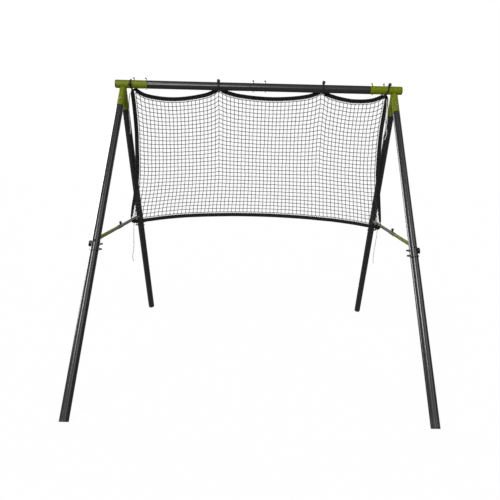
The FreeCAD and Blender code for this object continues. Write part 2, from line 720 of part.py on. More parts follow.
def brace(name, side):
    mouth = -size("brace_mouth_" + name)
    alias = "Sizes.brace_mouth_" + name
    tube_r = "Sizes.brace_diameter / 2"
    tube_bore = "(Sizes.brace_diameter / 2 - Sizes.brace_wall)"
    plugged = "(%s + Sizes.brace_plug)" % half_leg(-1)
    front_length = "((%s - %s) / cos(%s) + Sizes.brace_lap)" % (FRONT_REACH, alias, TILT)
    front = turned_body("brace_front_%s_tube" % name, [
        (BOLT_HOLE, "0"),
        (tube_r, "0"),
        (tube_r, front_length),
        (tube_bore, front_length),
        (tube_bore, plugged),
        (BOLT_HOLE, plugged),
    ])
    front_part = cut("brace_front_" + name, front, leg_cope("brace_front_%s_cope" % name, -1, -1))
    keep(front_part, "brace_front_" + name, Placement(brace_hold(side, -1), along(brace_way)))

    plugged = "(%s + Sizes.brace_plug)" % half_leg(1)
    rear_length = "((%s + %s) / cos(%s))" % (REAR_REACH, alias, TILT)
    wide_r = "Sizes.brace_mouth_diameter / 2"
    wide_bore = "(Sizes.brace_diameter / 2 + Sizes.slip_gap)"
    flare_start = "(%s - Sizes.brace_mouth_depth)" % rear_length
    rear = turned_body("brace_rear_%s_tube" % name, [
        (BOLT_HOLE, "0"),
        (tube_r, "0"),
        (tube_r, flare_start + " - Sizes.brace_flare"),
        (wide_r, flare_start),
        (wide_r, rear_length),
        (wide_bore, rear_length),
        (wide_bore, flare_start),
        (tube_bore, flare_start + " - Sizes.brace_flare"),
        (tube_bore, plugged),
        (BOLT_HOLE, plugged),
    ])
    knob_y = mouth + size("brace_knob_back") * brace_way.y
    knob_run = (brace_rear.y - knob_y) / brace_way.y
    up = Vector(0, 1, 0)
    boss = primitive("Cylinder", "brace_boss_" + name, at(0, 0, knob_run, along(up)),
                     Radius="Sizes.brace_boss_diameter / 2",
                     Height="Sizes.brace_mouth_diameter / 2 + Sizes.brace_boss_rise")
    tapped = primitive("Cylinder", "brace_tapped_" + name, at(0, 0, knob_run, along(up)),
                       Radius="Sizes.brace_screw_diameter / 2 + Sizes.run_gap",
                       Height="Sizes.brace_mouth_diameter")
    hollow = primitive("Cylinder", "brace_hollow_" + name, at(0, 0, knob_run - size("brace_boss_diameter")),
                       Radius="Sizes.brace_diameter / 2 + Sizes.slip_gap",
                       Height="2 * Sizes.brace_boss_diameter")
    cope = leg_cope("brace_rear_%s_cope" % name, 1, 1)
    solid = fused("brace_rear_%s_solid" % name, [rear, boss])
    tools = fused("brace_rear_%s_tools" % name, [tapped, hollow, cope])
    turn = Rotation(Vector(1, 0, 0), brace_up, brace_way * -1, "ZYX")
    keep(cut("brace_rear_" + name, solid, tools), "brace_rear_" + name, Placement(brace_hold(side, 1), turn))

    upright = along(brace_up)
    tip = on_brace(side, knob_y, size("brace_diameter") / 2 + seat_gap)
    seat = on_brace(side, knob_y, size("brace_mouth_diameter") / 2 + size("brace_boss_rise") + seat_gap)
    middle = on_brace(side, knob_y, size("brace_ball_rise"))
    screw_run = "Sizes.brace_ball_rise - Sizes.brace_diameter / 2 - Sizes.seat_gap"
    neck_run = ("Sizes.brace_ball_rise - Sizes.brace_mouth_diameter / 2"
                " - Sizes.brace_boss_rise - Sizes.seat_gap")
    ball = primitive("Sphere", "brace_ball_" + name, Placement(middle, upright),
                     Radius="Sizes.brace_ball_diameter / 2")
    neck = primitive("Cylinder", "brace_neck_" + name, Placement(seat, upright),
                     Radius="Sizes.brace_neck_diameter / 2", Height=neck_run)
    screw = primitive("Cylinder", "brace_screw_" + name, Placement(tip, upright),
                      Radius="Sizes.brace_screw_diameter / 2", Height=screw_run)
    keep(fused("brace_knob_" + name, [ball, neck, screw]), "brace_knob_" + name)
    print("brace_knob_" + name, "turns about", middle, brace_up)


def brace_bolts():
    """Low bolts through the legs into the braces' plugged ends, their heads saddled to the tube."""
    bolts = []
    for name, (side, end) in LEGS.items():
        back = "(%s + Sizes.saddle_rise)" % half_leg(end)
        depth = leg_radius / math.cos(lean - end * brace_tilt) + size("saddle_rise")
        head = primitive("Cylinder", "saddle_%s_round" % name, at(0, 0, -depth),
                         Radius="Sizes.saddle_diameter / 2", Height=back)
        saddle = cut("saddle_" + name, head, leg_cope("saddle_%s_cope" % name, -1, end))
        shank = primitive("Cylinder", "saddle_%s_shank" % name, at(0, 0, -depth), Radius=SHANK,
                          Height="%s + %s + Sizes.saddle_shank" % (back, half_leg(end)))
        bolt = fused("brace_bolt_" + name, [saddle, shank])
        turn = along(brace_way)
        if end > 0:
            turn = TURN_BACK.multiply(along(Vector(0, brace_way.y, -brace_way.z)))
        bolt.Placement = Placement(brace_hold(side, end), turn)
        bolts.append(bolt)
    keep(grouped("brace_bolts", bolts), "brace_bolts")


# The net's own plane: X is across, Y is up the slope, and zero is where it passes nearest the bar
hem_half = size("hem_thickness") / 2
net_off = bar_radius + seat_gap + hem_half
net_foot = brace_rear.y - size("tie_setback")
net_drop = bar_height - on_brace(1, net_foot).z
net_angle = math.atan2(net_foot, net_drop) - math.asin(net_off / math.hypot(net_foot, net_drop))
net_sin = math.sin(net_angle)
net_cos = math.cos(net_angle)
net_origin = Vector(0, net_off * net_cos, bar_height + net_off * net_sin)
NET_PLACE = Placement(net_origin, Rotation(Vector(1, 0, 0), 90 + math.degrees(net_angle)))
brace_crossing = -(net_origin.z - on_brace(1, net_foot).z) / net_cos

HEM = size("hem_width")
HANG = (
    (-(leg_plane - size("bungee_1_inset")), -size("hang_drop_1")),
    (-size("bungee_2_place"), -size("hang_drop_2")),
    (size("bungee_3_place"), -size("hang_drop_3")),
    (leg_plane - size("bungee_4_inset"), -size("hang_drop_4")),
)
SLANTS = (size("bungee_1_slant"), 0, 0, size("bungee_4_slant"))
SIDE_TOP = {-1: leg_plane - size("side_top_inset"), 1: leg_plane - size("side_top_inset_right")}
SIDE_WAIST = {-1: leg_plane - size("side_waist_inset"), 1: leg_plane - size("side_waist_inset_right")}
SIDE_FOOT = leg_plane + size("side_foot_outset")
SIDE_FOOT_LEVEL = brace_crossing + size("side_foot_rise")
SIDE_TOP_LEVEL = {
    -1: HANG[0][1] - HEM - size("corner_notch"),
    1: HANG[3][1] - HEM - size("corner_notch"),
}
LOW_MIDDLE = brace_crossing + size("low_middle_rise")
LOW_END = brace_crossing
LOW_REACH = leg_plane - size("low_end_inset")


def arc(first, through, last):
    return Part.Arc(Vector(*first, 0), Vector(*through, 0), Vector(*last, 0)).toShape()


def line(first, last):
    return Part.makeLine(Vector(*first, 0), Vector(*last, 0))


def scallop_points(shift):
    """Three points of each scallop of the top hem's upper edge, moved down by a shift."""
    depths = (size("scallop_1"), size("scallop_2"), size("scallop_3"))
    scallops = []
    for (x0, v0), (x1, v1), depth in zip(HANG, HANG[1:], depths):
        low = ((x0 + x1) / 2, (v0 + v1) / 2 - depth - shift)
        scallops.append(((x0, v0 - shift), low, (x1, v1 - shift)))
    return scallops


def top_edge(shift):
    return [arc(*points) for points in scallop_points(shift)]


def side_points(side, offset, foot_offset):
    """Three points of one edge of a side hem: top, waist and foot."""
    top = (side * (SIDE_TOP[side] + offset), SIDE_TOP_LEVEL[side])
    waist = (side * (SIDE_WAIST[side] + offset), (SIDE_TOP_LEVEL[side] + SIDE_FOOT_LEVEL) / 2)
    foot = (side * (SIDE_FOOT + foot_offset), SIDE_FOOT_LEVEL)
    return top, waist, foot


def low_points(shift):
    return (-LOW_REACH, LOW_END - shift), (0, LOW_MIDDLE - shift), (LOW_REACH, LOW_END - shift)


def flat_piece(label, wires, thickness, openings=None):
    """A flat piece in the net's plane, half its thickness on each side of it."""
    shape = Part.makeFace(wires, "Part::FaceMakerBullseye").extrude(Vector(0, 0, thickness))
    if openings:
        shape = shape.cut(Part.makeCompound(openings))
    item = doc.addObject("Part::Feature", label)
    item.Shape = shape
    keep(item, label, NET_PLACE.multiply(at(0, 0, -thickness / 2)))


def hems():
    left_end = HANG[0][0] - size("hem_top_overhang")
    right_end = HANG[3][0] + size("hem_top_overhang")
    first = HANG[0][1]
    last = HANG[3][1]
    upper = [line((left_end, first), (HANG[0][0], first))] + top_edge(0)
    upper.append(line((HANG[3][0], last), (right_end, last)))
    lower = [line((left_end, first - HEM), (HANG[0][0], first - HEM))] + top_edge(HEM)
    lower.append(line((HANG[3][0], last - HEM), (right_end, last - HEM)))
    ends = [line((left_end, first), (left_end, first - HEM)), line((right_end, last), (right_end, last - HEM))]
    flat_piece("hem_top", [Part.Wire(Part.__sortEdges__(upper + lower + ends))], size("hem_thickness"))
    for label, side in (("hem_left", -1), ("hem_right", 1)):
        outer = side_points(side, HEM / 2, size("side_foot_width") / 2)
        inner = side_points(side, -HEM / 2, -size("side_foot_width") / 2)
        edges = [arc(*outer), line(outer[2], inner[2]), arc(*inner), line(inner[0], outer[0])]
        flat_piece(label, [Part.Wire(Part.__sortEdges__(edges))], size("hem_thickness"))
    high = low_points(0)
    low = low_points(HEM)
    edges = [arc(*high), line(high[2], low[2]), arc(*low), line(low[0], high[0])]
    flat_piece("hem_bottom", [Part.Wire(Part.__sortEdges__(edges))], size("hem_thickness"))


def arc_level(points, x):
    """The level, at a place across it, of the arc through three points."""
    rim = arc(*points).Curve
    rise = math.sqrt(rim.Radius ** 2 - (x - rim.Center.x) ** 2)
    return rim.Center.y + math.copysign(rise, points[1][1] - rim.Center.y)


def net_top(x, shift):
    """The top hem's scalloped level at a place across it, moved down by a shift."""
    scallops = scallop_points(shift)
    inside = [points for points in scallops if x <= points[2][0]]
    return arc_level((inside or scallops[-1:])[0], x)


def net_point(across, upward):
    """A place in the net, from 0 to 1 across it and from 0 to 1 up it, settled by repeated guesses."""
    x = across * (SIDE_WAIST[-1] + SIDE_WAIST[1]) - SIDE_WAIST[-1]
    for _ in range(SETTLING):
        low = arc_level(low_points(0), x)
        level = low + upward * (net_top(x, HEM) - low)
        edge = {}
        for side in (-1, 1):
            inner = side_points(side, -HEM / 2, -size("side_foot_width") / 2)
            edge[side] = arc_level([(v, u) for u, v in inner], level)
        x = edge[-1] + across * (edge[1] - edge[-1])
    return Vector(x, level, 0)


def clipped(corners, place, inward):
    """The part of a polygon on the inner side of a line."""
    kept = []
    for a, b in zip(corners, corners[1:] + corners[:1]):
        before = (a - place).dot(inward)
        after = (b - place).dot(inward)
        if before >= 0:
            kept.append(a)
        if (before >= 0) != (after >= 0):
            kept.append(a + (b - a) * (before / (before - after)))
    return kept


def net_panel():
    """The mesh as one sheet with square gaps, drawn at a coarser pitch than the real knots."""
    gap = seat_gap
    half = size("net_strand") / 2
    left = side_points(-1, -HEM / 2 - gap, -size("side_foot_width") / 2 - gap)
    right = side_points(1, -HEM / 2 - gap, -size("side_foot_width") / 2 - gap)
    low = low_points(-gap)
    scallops = scallop_points(HEM + gap)
    edges = [
        arc(*scallops[1]),
        arc(*left),
        line(left[2], low[0]),
        arc(*low),
        line(low[2], right[2]),
        arc(*right),
    ]
    for side, corner, (outer, middle, inner) in ((-1, left[0], scallops[0]), (1, right[0], scallops[2][::-1])):
        if side * (corner[0] - outer[0]) > 0:
            top = (corner[0], outer[1])
            edges += [line(top, outer), arc(outer, middle, inner)]
        else:
            top = (corner[0], net_top(corner[0], HEM + gap))
            edges.append(arc(top, middle, inner))
        edges.append(line(corner, top))
    wires = [Part.Wire(Part.__sortEdges__(edges))]
    corner_lines = []
    for side, a, b in ((-1, left[2], low[0]), (1, right[2], low[2])):
        run = unit(Vector(b[0] - a[0], b[1] - a[1], 0))
        inward = Vector(run.y * side, -run.x * side, 0)
        corner_lines.append((Vector(*a, 0) + inward * half, inward))
    shift_x = half / (SIDE_WAIST[-1] + SIDE_WAIST[1] - HEM)
    shift_y = half / (-LOW_MIDDLE - HEM)
    for column in range(NET_COLUMNS):
        for row in range(NET_ROWS):
            x0 = column / NET_COLUMNS + shift_x
            x1 = (column + 1) / NET_COLUMNS - shift_x
            y0 = row / NET_ROWS + shift_y
            y1 = (row + 1) / NET_ROWS - shift_y
            corners = [net_point(x0, y0), net_point(x1, y0), net_point(x1, y1), net_point(x0, y1)]
            for place, inward in corner_lines:
                corners = clipped(corners, place, inward)
            wires.append(Part.makePolygon(corners + corners[:1]))
    width = size("strand_spread") + size("cord_diameter") + 2 * size("slip_gap")
    notches = []
    for (x, v), slant in zip(HANG, SLANTS):
        reach = width / 2 + abs(math.tan(math.radians(slant))) * HEM
        notch = Part.makeBox(2 * reach, 2 * size("corner_notch"), 2 * size("hem_thickness"))
        notch.translate(Vector(x - reach, v - HEM - size("corner_notch"), -size("hem_thickness")))
        notches.append(notch)
    flat_piece("net_panel", wires, size("net_thickness"), notches)


# Cords
def rounded_route(label, points):
    """Straight runs joined by tangent arcs, each as large as its two runs allow."""
    edges = []
    radii = []
    start = points[0]
    for before, corner, after in zip(points, points[1:], points[2:]):
        run_in = corner - before
        run_out = after - corner
        turn = run_in.getAngle(run_out)
        reach = CORD_REACH * min(run_in.Length, run_out.Length)
        radius = reach / math.tan(turn / 2)
        into = corner - unit(run_in) * reach
        away = corner + unit(run_out) * reach
        inward = unit(unit(run_out) - unit(run_in))
        middle = corner + inward * (radius / math.cos(turn / 2) - radius)
        edges.append(Part.makeLine(start, into))
        edges.append(Part.Arc(into, middle, away).toShape())
        start = away
        radii.append(radius)
    edges.append(Part.makeLine(start, points[-1]))
    print(label, "bend radii", [round(radius) for radius in radii])
    return edges


def tube_along(label, edges, diameter):
    """A round cord along a path, its volume compared with its section times its length."""
    wire = Part.Wire(edges)
    start = wire.Edges[0].valueAt(wire.Edges[0].FirstParameter)
    direction = wire.Edges[0].tangentAt(wire.Edges[0].FirstParameter)
    ring = Part.Wire([Part.makeCircle(diameter / 2, start, direction)])
    solid = wire.makePipeShell([ring], True, False)
    expected = math.pi * diameter ** 2 / 4 * wire.Length
    print(label, "length", round(wire.Length, 1), "volume over section times length",
          round(solid.Volume / expected, 4))
    if abs(solid.Volume / expected - 1) > 0.01:
        raise RuntimeError(label + " has a wrong volume")
    return solid


def outer_tangent(first, second):
    """The line that touches two circles on their outside, going round them anticlockwise."""
    (a, b, r), (c, d, s) = first, second
    gap = math.hypot(c - a, d - b)
    heading = math.atan2(d - b, c - a)
    normal = heading - math.acos((r - s) / gap)
    start = (a + r * math.cos(normal), b + r * math.sin(normal))
    end = (c + s * math.cos(normal), d + s * math.sin(normal))
    return start, end, normal


def belt(circles, x):
    """A path round circles given as y, z and radius, in the plane at x: tangent lines and arcs."""
    spans = [outer_tangent(first, second) for first, second in zip(circles, circles[1:])]
    edges = []
    for i, (start, end, normal) in enumerate(spans):
        if i > 0:
            y, z, radius = circles[i]
            before = spans[i - 1]
            sweep = (normal - before[2]) % (2 * math.pi)
            half = before[2] + sweep / 2
            middle = Vector(x, y + radius * math.cos(half), z + radius * math.sin(half))
            first = Vector(x, before[1][0], before[1][1])
            last = Vector(x, start[0], start[1])
            edges.append(Part.Arc(first, middle, last).toShape())
        edges.append(Part.makeLine(Vector(x, start[0], start[1]), Vector(x, end[0], end[1])))
    return edges


def bungee(number, hem_x, hem_top_level, slant):
    """A ball bungee: two elastic strands from the ball, round the bar and the hem, and back."""
    cord_r = size("cord_diameter") / 2
    ball_r = size("ball_diameter") / 2
    slanted = Rotation(Vector(0, 1, 0), slant)
    hem_height = net_origin.z + (hem_top_level - HEM / 2) * net_cos
    x = hem_x + (bar_height - hem_height) * math.tan(math.radians(slant))
    steep = math.cos(math.radians(slant))
    slack = size("strand_spread") / 2 * abs(math.tan(math.radians(slant)))
    wrap = (bar_radius + seat_gap) / steep + cord_r + slack
    turn = math.radians(size("ball_turn_%d" % number))
    rise = bar_radius + size("ball_rise")
    ball = (-rise * math.sin(turn), rise * math.cos(turn), 0.0)
    bar = (0.0, 0.0, wrap)
    round_hem = hem_half + seat_gap + cord_r + slack

    def in_net(v):
        point = net_origin + Vector(0, -net_sin, net_cos) * v
        return point.y, (point.z - bar_height) / steep, round_hem

    gather = size("hem_gather") + size("hem_gather_lean") * abs(math.tan(math.radians(slant)))
    under_hem = in_net(hem_top_level - HEM - gather)
    circles = [ball, bar, under_hem, in_net(hem_top_level), bar, ball]
    strands = []
    for side in (-1, 1):
        edges = belt(circles, side * size("strand_spread") / 2)
        reach = ball_r + seat_gap
        first = edges[0]
        out = first.tangentAt(first.FirstParameter)
        centre = first.valueAt(first.FirstParameter)
        end = first.valueAt(first.LastParameter)
        edges[0] = Part.makeLine(centre + out * reach, end)
        final = edges[-1]
        back = final.tangentAt(final.LastParameter)
        centre = final.valueAt(final.LastParameter)
        edges[-1] = Part.makeLine(final.valueAt(final.FirstParameter), centre - back * reach)
        strands.append(tube_along("bungee_cord_%d" % number, edges, size("cord_diameter")))
    cord = doc.addObject("Part::Feature", "bungee_cord_%d" % number)
    cord.Shape = Part.makeCompound(strands)
    keep(cord, "bungee_cord_%d" % number, at(x, 0, bar_height, slanted))
    middle = Vector(x, 0, bar_height) + slanted.multVec(Vector(0, ball[0], ball[1]))
    keep(primitive("Sphere", "bungee_ball_%d" % number, Radius="Sizes.ball_diameter / 2"),
         "bungee_ball_%d" % number, at(middle.x, middle.y, middle.z))
    print("bungee", number, "ball", middle)


def corner_strap(label, side, drop):
    """The folded webbing that carries the net's corner under the brace, from the side hem to the lower hem."""
    clear = size("brace_diameter") / 2 + size("strap_clear")
    outer = clear + size("strap_wall")
    tip = size("strap_tip") / 2
    foot = size("side_foot_width") / 2
    start = SIDE_FOOT_LEVEL - seat_gap
    inner_end = LOW_REACH + seat_gap - leg_plane
    inset = size("strap_tip_inset")
    shoulder = size("strap_shoulder")
    spread = size("strap_spread")
    outside = [
        (clear, brace_crossing),
        (clear, brace_crossing + size("side_foot_rise") - foot),
        (SIDE_FOOT - leg_plane - foot, start),
        (SIDE_FOOT - leg_plane + foot, start),
        (outer, brace_crossing),
        (spread - inset, brace_crossing - shoulder),
        (tip - inset, brace_crossing - drop),
        (-tip - inset, brace_crossing - drop),
        (-spread - inset, brace_crossing - shoulder),
        (inner_end, LOW_END - HEM),
        (inner_end, LOW_END),
        (-clear, brace_crossing),
    ]
    points = [(side * (leg_plane + u), v) for u, v in outside]
    edges = [line(a, b) for a, b in zip(points, points[1:])]
    edges.append(arc(points[-1], (side * leg_plane, brace_crossing - clear), points[0]))
    flat_piece(label, [Part.Wire(Part.__sortEdges__(edges))], size("hem_thickness"))


# Loose tails of the white tie cord, hanging from the net's corners.
# Upper ones: outward of the corner socket's plane, behind the bar, below it.
UPPER_TAILS = {
    "tail_top_left": (-1, [
        (-38, 45.3, -58), (-33, 42, -98), (-33, 41, -158), (-34.5, 42, -210), (-38, 41, -252),
        (-44, 39.5, -290), (-47, 40, -325), (-46, 39, -358),
    ]),
    "tail_top_right_outer": (1, [
        (-33, 44.1, -53), (-31.5, 41.5, -98), (-32.5, 41, -158), (-32, 40, -213), (-37, 40, -255),
        (-46, 39.5, -286), (-52, 39, -318), (-63, 38.5, -349),
    ]),
    "tail_top_right_inner": (1, [
        (-43, 45.2, -58), (-38, 48, -92), (-38.5, 49, -135), (-43, 48, -176), (-44.5, 48, -209),
        (-42, 48, -240), (-33, 48, -278), (-30, 48, -306), (-37, 47, -334), (-44, 46.5, -358),
    ]),
}
# Lower ones: outward of the leg's plane, behind the strap's tip, below it.
LOWER_TAILS = {
    "tail_low_left": (-1, [
        (-5, 0, 0), (-3, 0, -50), (-3, 1, -96), (-5, 2, -142), (-4.5, 3, -185), (-2, 2, -230),
        (6, 1, -270), (-3, 0, -308),
    ]),
    "tail_low_right": (1, [
        (-5, 0, 0), (-8, 0, -44), (-15, 1, -90), (-20, 1, -130), (-26, 2, -168), (-30, 1, -206),
        (-32.5, 0, -242), (-30, -1, -276),
    ]),
}


def tail(label, side, places, origin):
    points = [Vector(side * (origin.x + x), origin.y + y, origin.z + z) for x, y, z in places]
    item = doc.addObject("Part::Feature", label)
    item.Shape = tube_along(label, rounded_route(label, points), size("cord_diameter"))
    keep(item, label, Placement())


def tails():
    corner = Vector(leg_plane, 0, bar_height)
    for label, (side, places) in UPPER_TAILS.items():
        tail(label, side, places, corner)
    for label, (side, places) in LOWER_TAILS.items():
        drop = size("strap_drop_left" if side < 0 else "strap_drop_right")
        tip = net_origin + Vector(0, -net_sin, net_cos) * (brace_crossing - drop)
        under = hem_half * net_sin + size("tail_gap")
        tail(label, side, places, Vector(leg_plane, tip.y, tip.z - under))


crossbar()
corner_bracket("corner_bracket_left", -1)
corner_bracket("corner_bracket_right", 1)
sleeve_plugs()
for leg, (leg_side, leg_end) in LEGS.items():
    upper_leg("leg_upper_" + leg, leg_side, leg_end)
    lower_leg("leg_lower_" + leg, leg_side, leg_end)
    foot_cap("foot_cap_" + leg, leg_side, leg_end)
    joint_knob(leg, leg_side, leg_end)
frame_fasteners()
brace("left", -1)
brace("right", 1)
brace_bolts()
net_panel()
hems()
for count, ((hang_x, hang_level), hang_slant) in enumerate(zip(HANG, SLANTS), start=1):
    bungee(count, hang_x, hang_level, hang_slant)
corner_strap("corner_strap_left", -1, size("strap_drop_left"))
corner_strap("corner_strap_right", 1, size("strap_drop_right"))
tails()
doc.recompute()

print("bar height", round(bar_height, 2), "brace holds", brace_front, brace_rear, "tilt", round(brace_tilt, 5))
print("net angle", round(math.degrees(net_angle), 3), "net origin", net_origin, "crossing", round(brace_crossing, 1))
for item in doc.Objects:
    if "Invalid" in item.State or "Error" in item.State:
        raise RuntimeError(item.Label + " failed to build")
for item in subparts:
    if item.Shape.isNull() or not item.Shape.isValid() or item.Shape.Volume <= 0:
        raise RuntimeError(item.Label + " has no sound shape")

os.makedirs("parts", exist_ok=True)
for item in subparts:
    item.Shape.exportStep("parts/%s.step" % item.Label)
print(len(subparts), "sub-parts written")
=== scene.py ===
# %% [markdown]
# A pitch back rebounder: a steel-tube A-frame with a slanted net. The tubes, brackets, bolts and
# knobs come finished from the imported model, so they are loaded first and stay as they are. What is
# soft, the net, its hems and all its cords, is made here over plain solids that it replaces.

# %% Load the frame
import json
import math
import random

import bmesh
import bpy
from mathutils import Matrix, Vector


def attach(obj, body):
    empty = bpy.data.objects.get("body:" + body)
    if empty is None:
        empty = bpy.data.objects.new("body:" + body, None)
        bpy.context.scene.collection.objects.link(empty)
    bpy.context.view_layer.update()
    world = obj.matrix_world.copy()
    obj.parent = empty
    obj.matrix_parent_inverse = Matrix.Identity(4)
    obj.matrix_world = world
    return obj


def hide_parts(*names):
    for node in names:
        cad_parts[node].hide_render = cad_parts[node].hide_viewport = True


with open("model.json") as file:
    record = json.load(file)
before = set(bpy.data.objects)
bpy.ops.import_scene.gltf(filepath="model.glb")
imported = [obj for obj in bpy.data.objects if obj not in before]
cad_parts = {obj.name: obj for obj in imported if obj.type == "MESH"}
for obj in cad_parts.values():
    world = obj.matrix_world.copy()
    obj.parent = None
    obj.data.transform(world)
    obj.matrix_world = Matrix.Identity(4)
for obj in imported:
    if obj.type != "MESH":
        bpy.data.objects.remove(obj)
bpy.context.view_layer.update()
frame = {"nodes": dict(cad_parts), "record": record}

nodes = frame["nodes"]
print("nodes loaded:", len(nodes))

# %% [markdown]
# The camera repeats the photograph: it stands 3.7 m in front of the bar at head height and looks
# almost level. A viewpoint could be found by trying, but here it was solved from the feet, the
# joints and the ends of the bar. The small shift moves the frame up in the square picture, as a
# view camera's rising back does, and keeps the legs' perspective.

# %% Camera
CAMERA_PLACE = Vector((0.0177, -3.6657, 1.4090))
CAMERA_YAW = math.radians(0.514)
CAMERA_PITCH = math.radians(-2.5)
CAMERA_ROLL = math.radians(-1.346)
PICTURE_WIDTH = 500
FOCAL_PIXELS = 498
AXIS_PIXEL = (263.65, 184.48)
SENSOR_MM = 36


def deselect_all():
    """Operators act on whatever is selected, so each step starts with nothing selected."""
    for item in bpy.context.selected_objects:
        item.select_set(False)


forward = Vector((math.sin(CAMERA_YAW) * math.cos(CAMERA_PITCH),
                  math.cos(CAMERA_YAW) * math.cos(CAMERA_PITCH), math.sin(CAMERA_PITCH)))
level_right = Vector((math.cos(CAMERA_YAW), -math.sin(CAMERA_YAW), 0))
level_down = forward.cross(level_right)
right = level_right * math.cos(CAMERA_ROLL) + level_down * math.sin(CAMERA_ROLL)
up = level_right * math.sin(CAMERA_ROLL) - level_down * math.cos(CAMERA_ROLL)

deselect_all()
bpy.ops.object.camera_add(location=CAMERA_PLACE)
camera = bpy.context.object
camera.name = "camera"
turned = Matrix((right, up, -forward)).transposed()
camera.rotation_euler = turned.to_euler()
camera.data.sensor_width = SENSOR_MM
camera.data.lens = FOCAL_PIXELS / PICTURE_WIDTH * SENSOR_MM
camera.data.shift_x = (PICTURE_WIDTH / 2 - AXIS_PIXEL[0]) / PICTURE_WIDTH
camera.data.shift_y = (AXIS_PIXEL[1] - PICTURE_WIDTH / 2) / PICTURE_WIDTH
camera.data.clip_end = 100
bpy.context.scene.camera = camera
print("lens", round(camera.data.lens, 2))

# %% [markdown]
# Everything soft here is a line with a cross-section: a cord is round, a hem is flat. A curve
# object with a bevel would draw them, but a mesh swept along the line also gives each its own UV
# map, once round the section and in metres along it, and the weave and braid patterns follow that.

# %% Sweeping a section along a line
def add_sweep(mesh, uv_layer, points, across, section, sizes=None, closed=False):
    """Adds one swept solid to a mesh: at each point, the section's first value lies along across."""
    count = len(points)
    rings = []
    distances = []
    travelled = 0.0
    for i, point in enumerate(points):
        if closed:
            ahead = points[(i + 1) % count] - points[i - 1]
        else:
            ahead = points[min(i + 1, count - 1)] - points[max(i - 1, 0)]
        ahead.normalize()
        side = ahead.cross(across).normalized()
        cross = side.cross(ahead)
        if i > 0:
            travelled += (point - points[i - 1]).length
        distances.append(travelled)
        wide, thick = sizes[i] if sizes else (1, 1)
        rings.append([mesh.verts.new(point + side * (a * wide) + cross * (b * thick))
                      for a, b in section])
    sides = len(section)
    for i in range(count if closed else count - 1):
        after = (i + 1) % count
        far = distances[after] if after else travelled + (points[0] - points[-1]).length
        for j in range(sides):
            k = (j + 1) % sides
            face = mesh.faces.new((rings[i][j], rings[i][k], rings[after][k], rings[after][j]))
            face.smooth = True
            marks = ((j, distances[i]), (j + 1, distances[i]), (j + 1, far), (j, far))
            for loop, (around, along) in zip(face.loops, marks):
                loop[uv_layer].uv = (around / sides, along)
    if not closed:
        mesh.faces.new(list(reversed(rings[0])))
        mesh.faces.new(rings[-1])


def round_section(radius, sides):
    return [(radius * math.cos(math.tau * i / sides), radius * math.sin(math.tau * i / sides))
            for i in range(sides)]


def new_piece(name, build, finish, replaced=(), body="frame"):
    """Makes a mesh object from a function that fills a mesh, and puts it on a body of the frame."""
    mesh = bmesh.new()
    uv_layer = mesh.loops.layers.uv.new("UVMap")
    build(mesh, uv_layer)
    bmesh.ops.recalc_face_normals(mesh, faces=mesh.faces)
    data = bpy.data.meshes.new(name)
    mesh.to_mesh(data)
    mesh.free()
    piece = bpy.data.objects.new(name, data)
    bpy.context.scene.collection.objects.link(piece)
    data.materials.append(finish)
    if replaced:
        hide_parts(*replaced)
    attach(piece, body)
    print(name, len(data.polygons), "faces")
    return piece


# %% [markdown]
# A material is a small sum of noises, waves and masks. Wiring such nodes by hand hides the sum, so
# numbers in a material are wrapped in a class that knows plus, minus and times, and an expression
# on them adds its Math nodes. Every other node comes from one method that takes its settings and
# the values of its sockets.

# %% Shader maths
class Number:
    """A number that varies over a surface."""

    def __init__(self, finish, socket):
        self.finish = finish
        self.socket = socket

    def maths(self, operation, *terms):
        return self.finish.node("ShaderNodeMath", {"operation": operation}, dict(enumerate(terms)))

    def __add__(self, other):
        return self.maths("ADD", self, other)

    def __radd__(self, other):
        return self.maths("ADD", other, self)

    def __sub__(self, other):
        return self.maths("SUBTRACT", self, other)

    def __rsub__(self, other):
        return self.maths("SUBTRACT", other, self)

    def __mul__(self, other):
        return self.maths("MULTIPLY", self, other)

    def sine(self):
        return self.maths("SINE", self)

    def size(self):
        return self.maths("ABSOLUTE", self)

    def between(self, low, high):
        """0 below low, 1 above high, and smooth from one to the other."""
        settings = {"interpolation_type": "SMOOTHSTEP", "clamp": True}
        return self.finish.node("ShaderNodeMapRange", settings, {0: self, 1: low, 2: high, 3: 0.0, 4: 1.0})


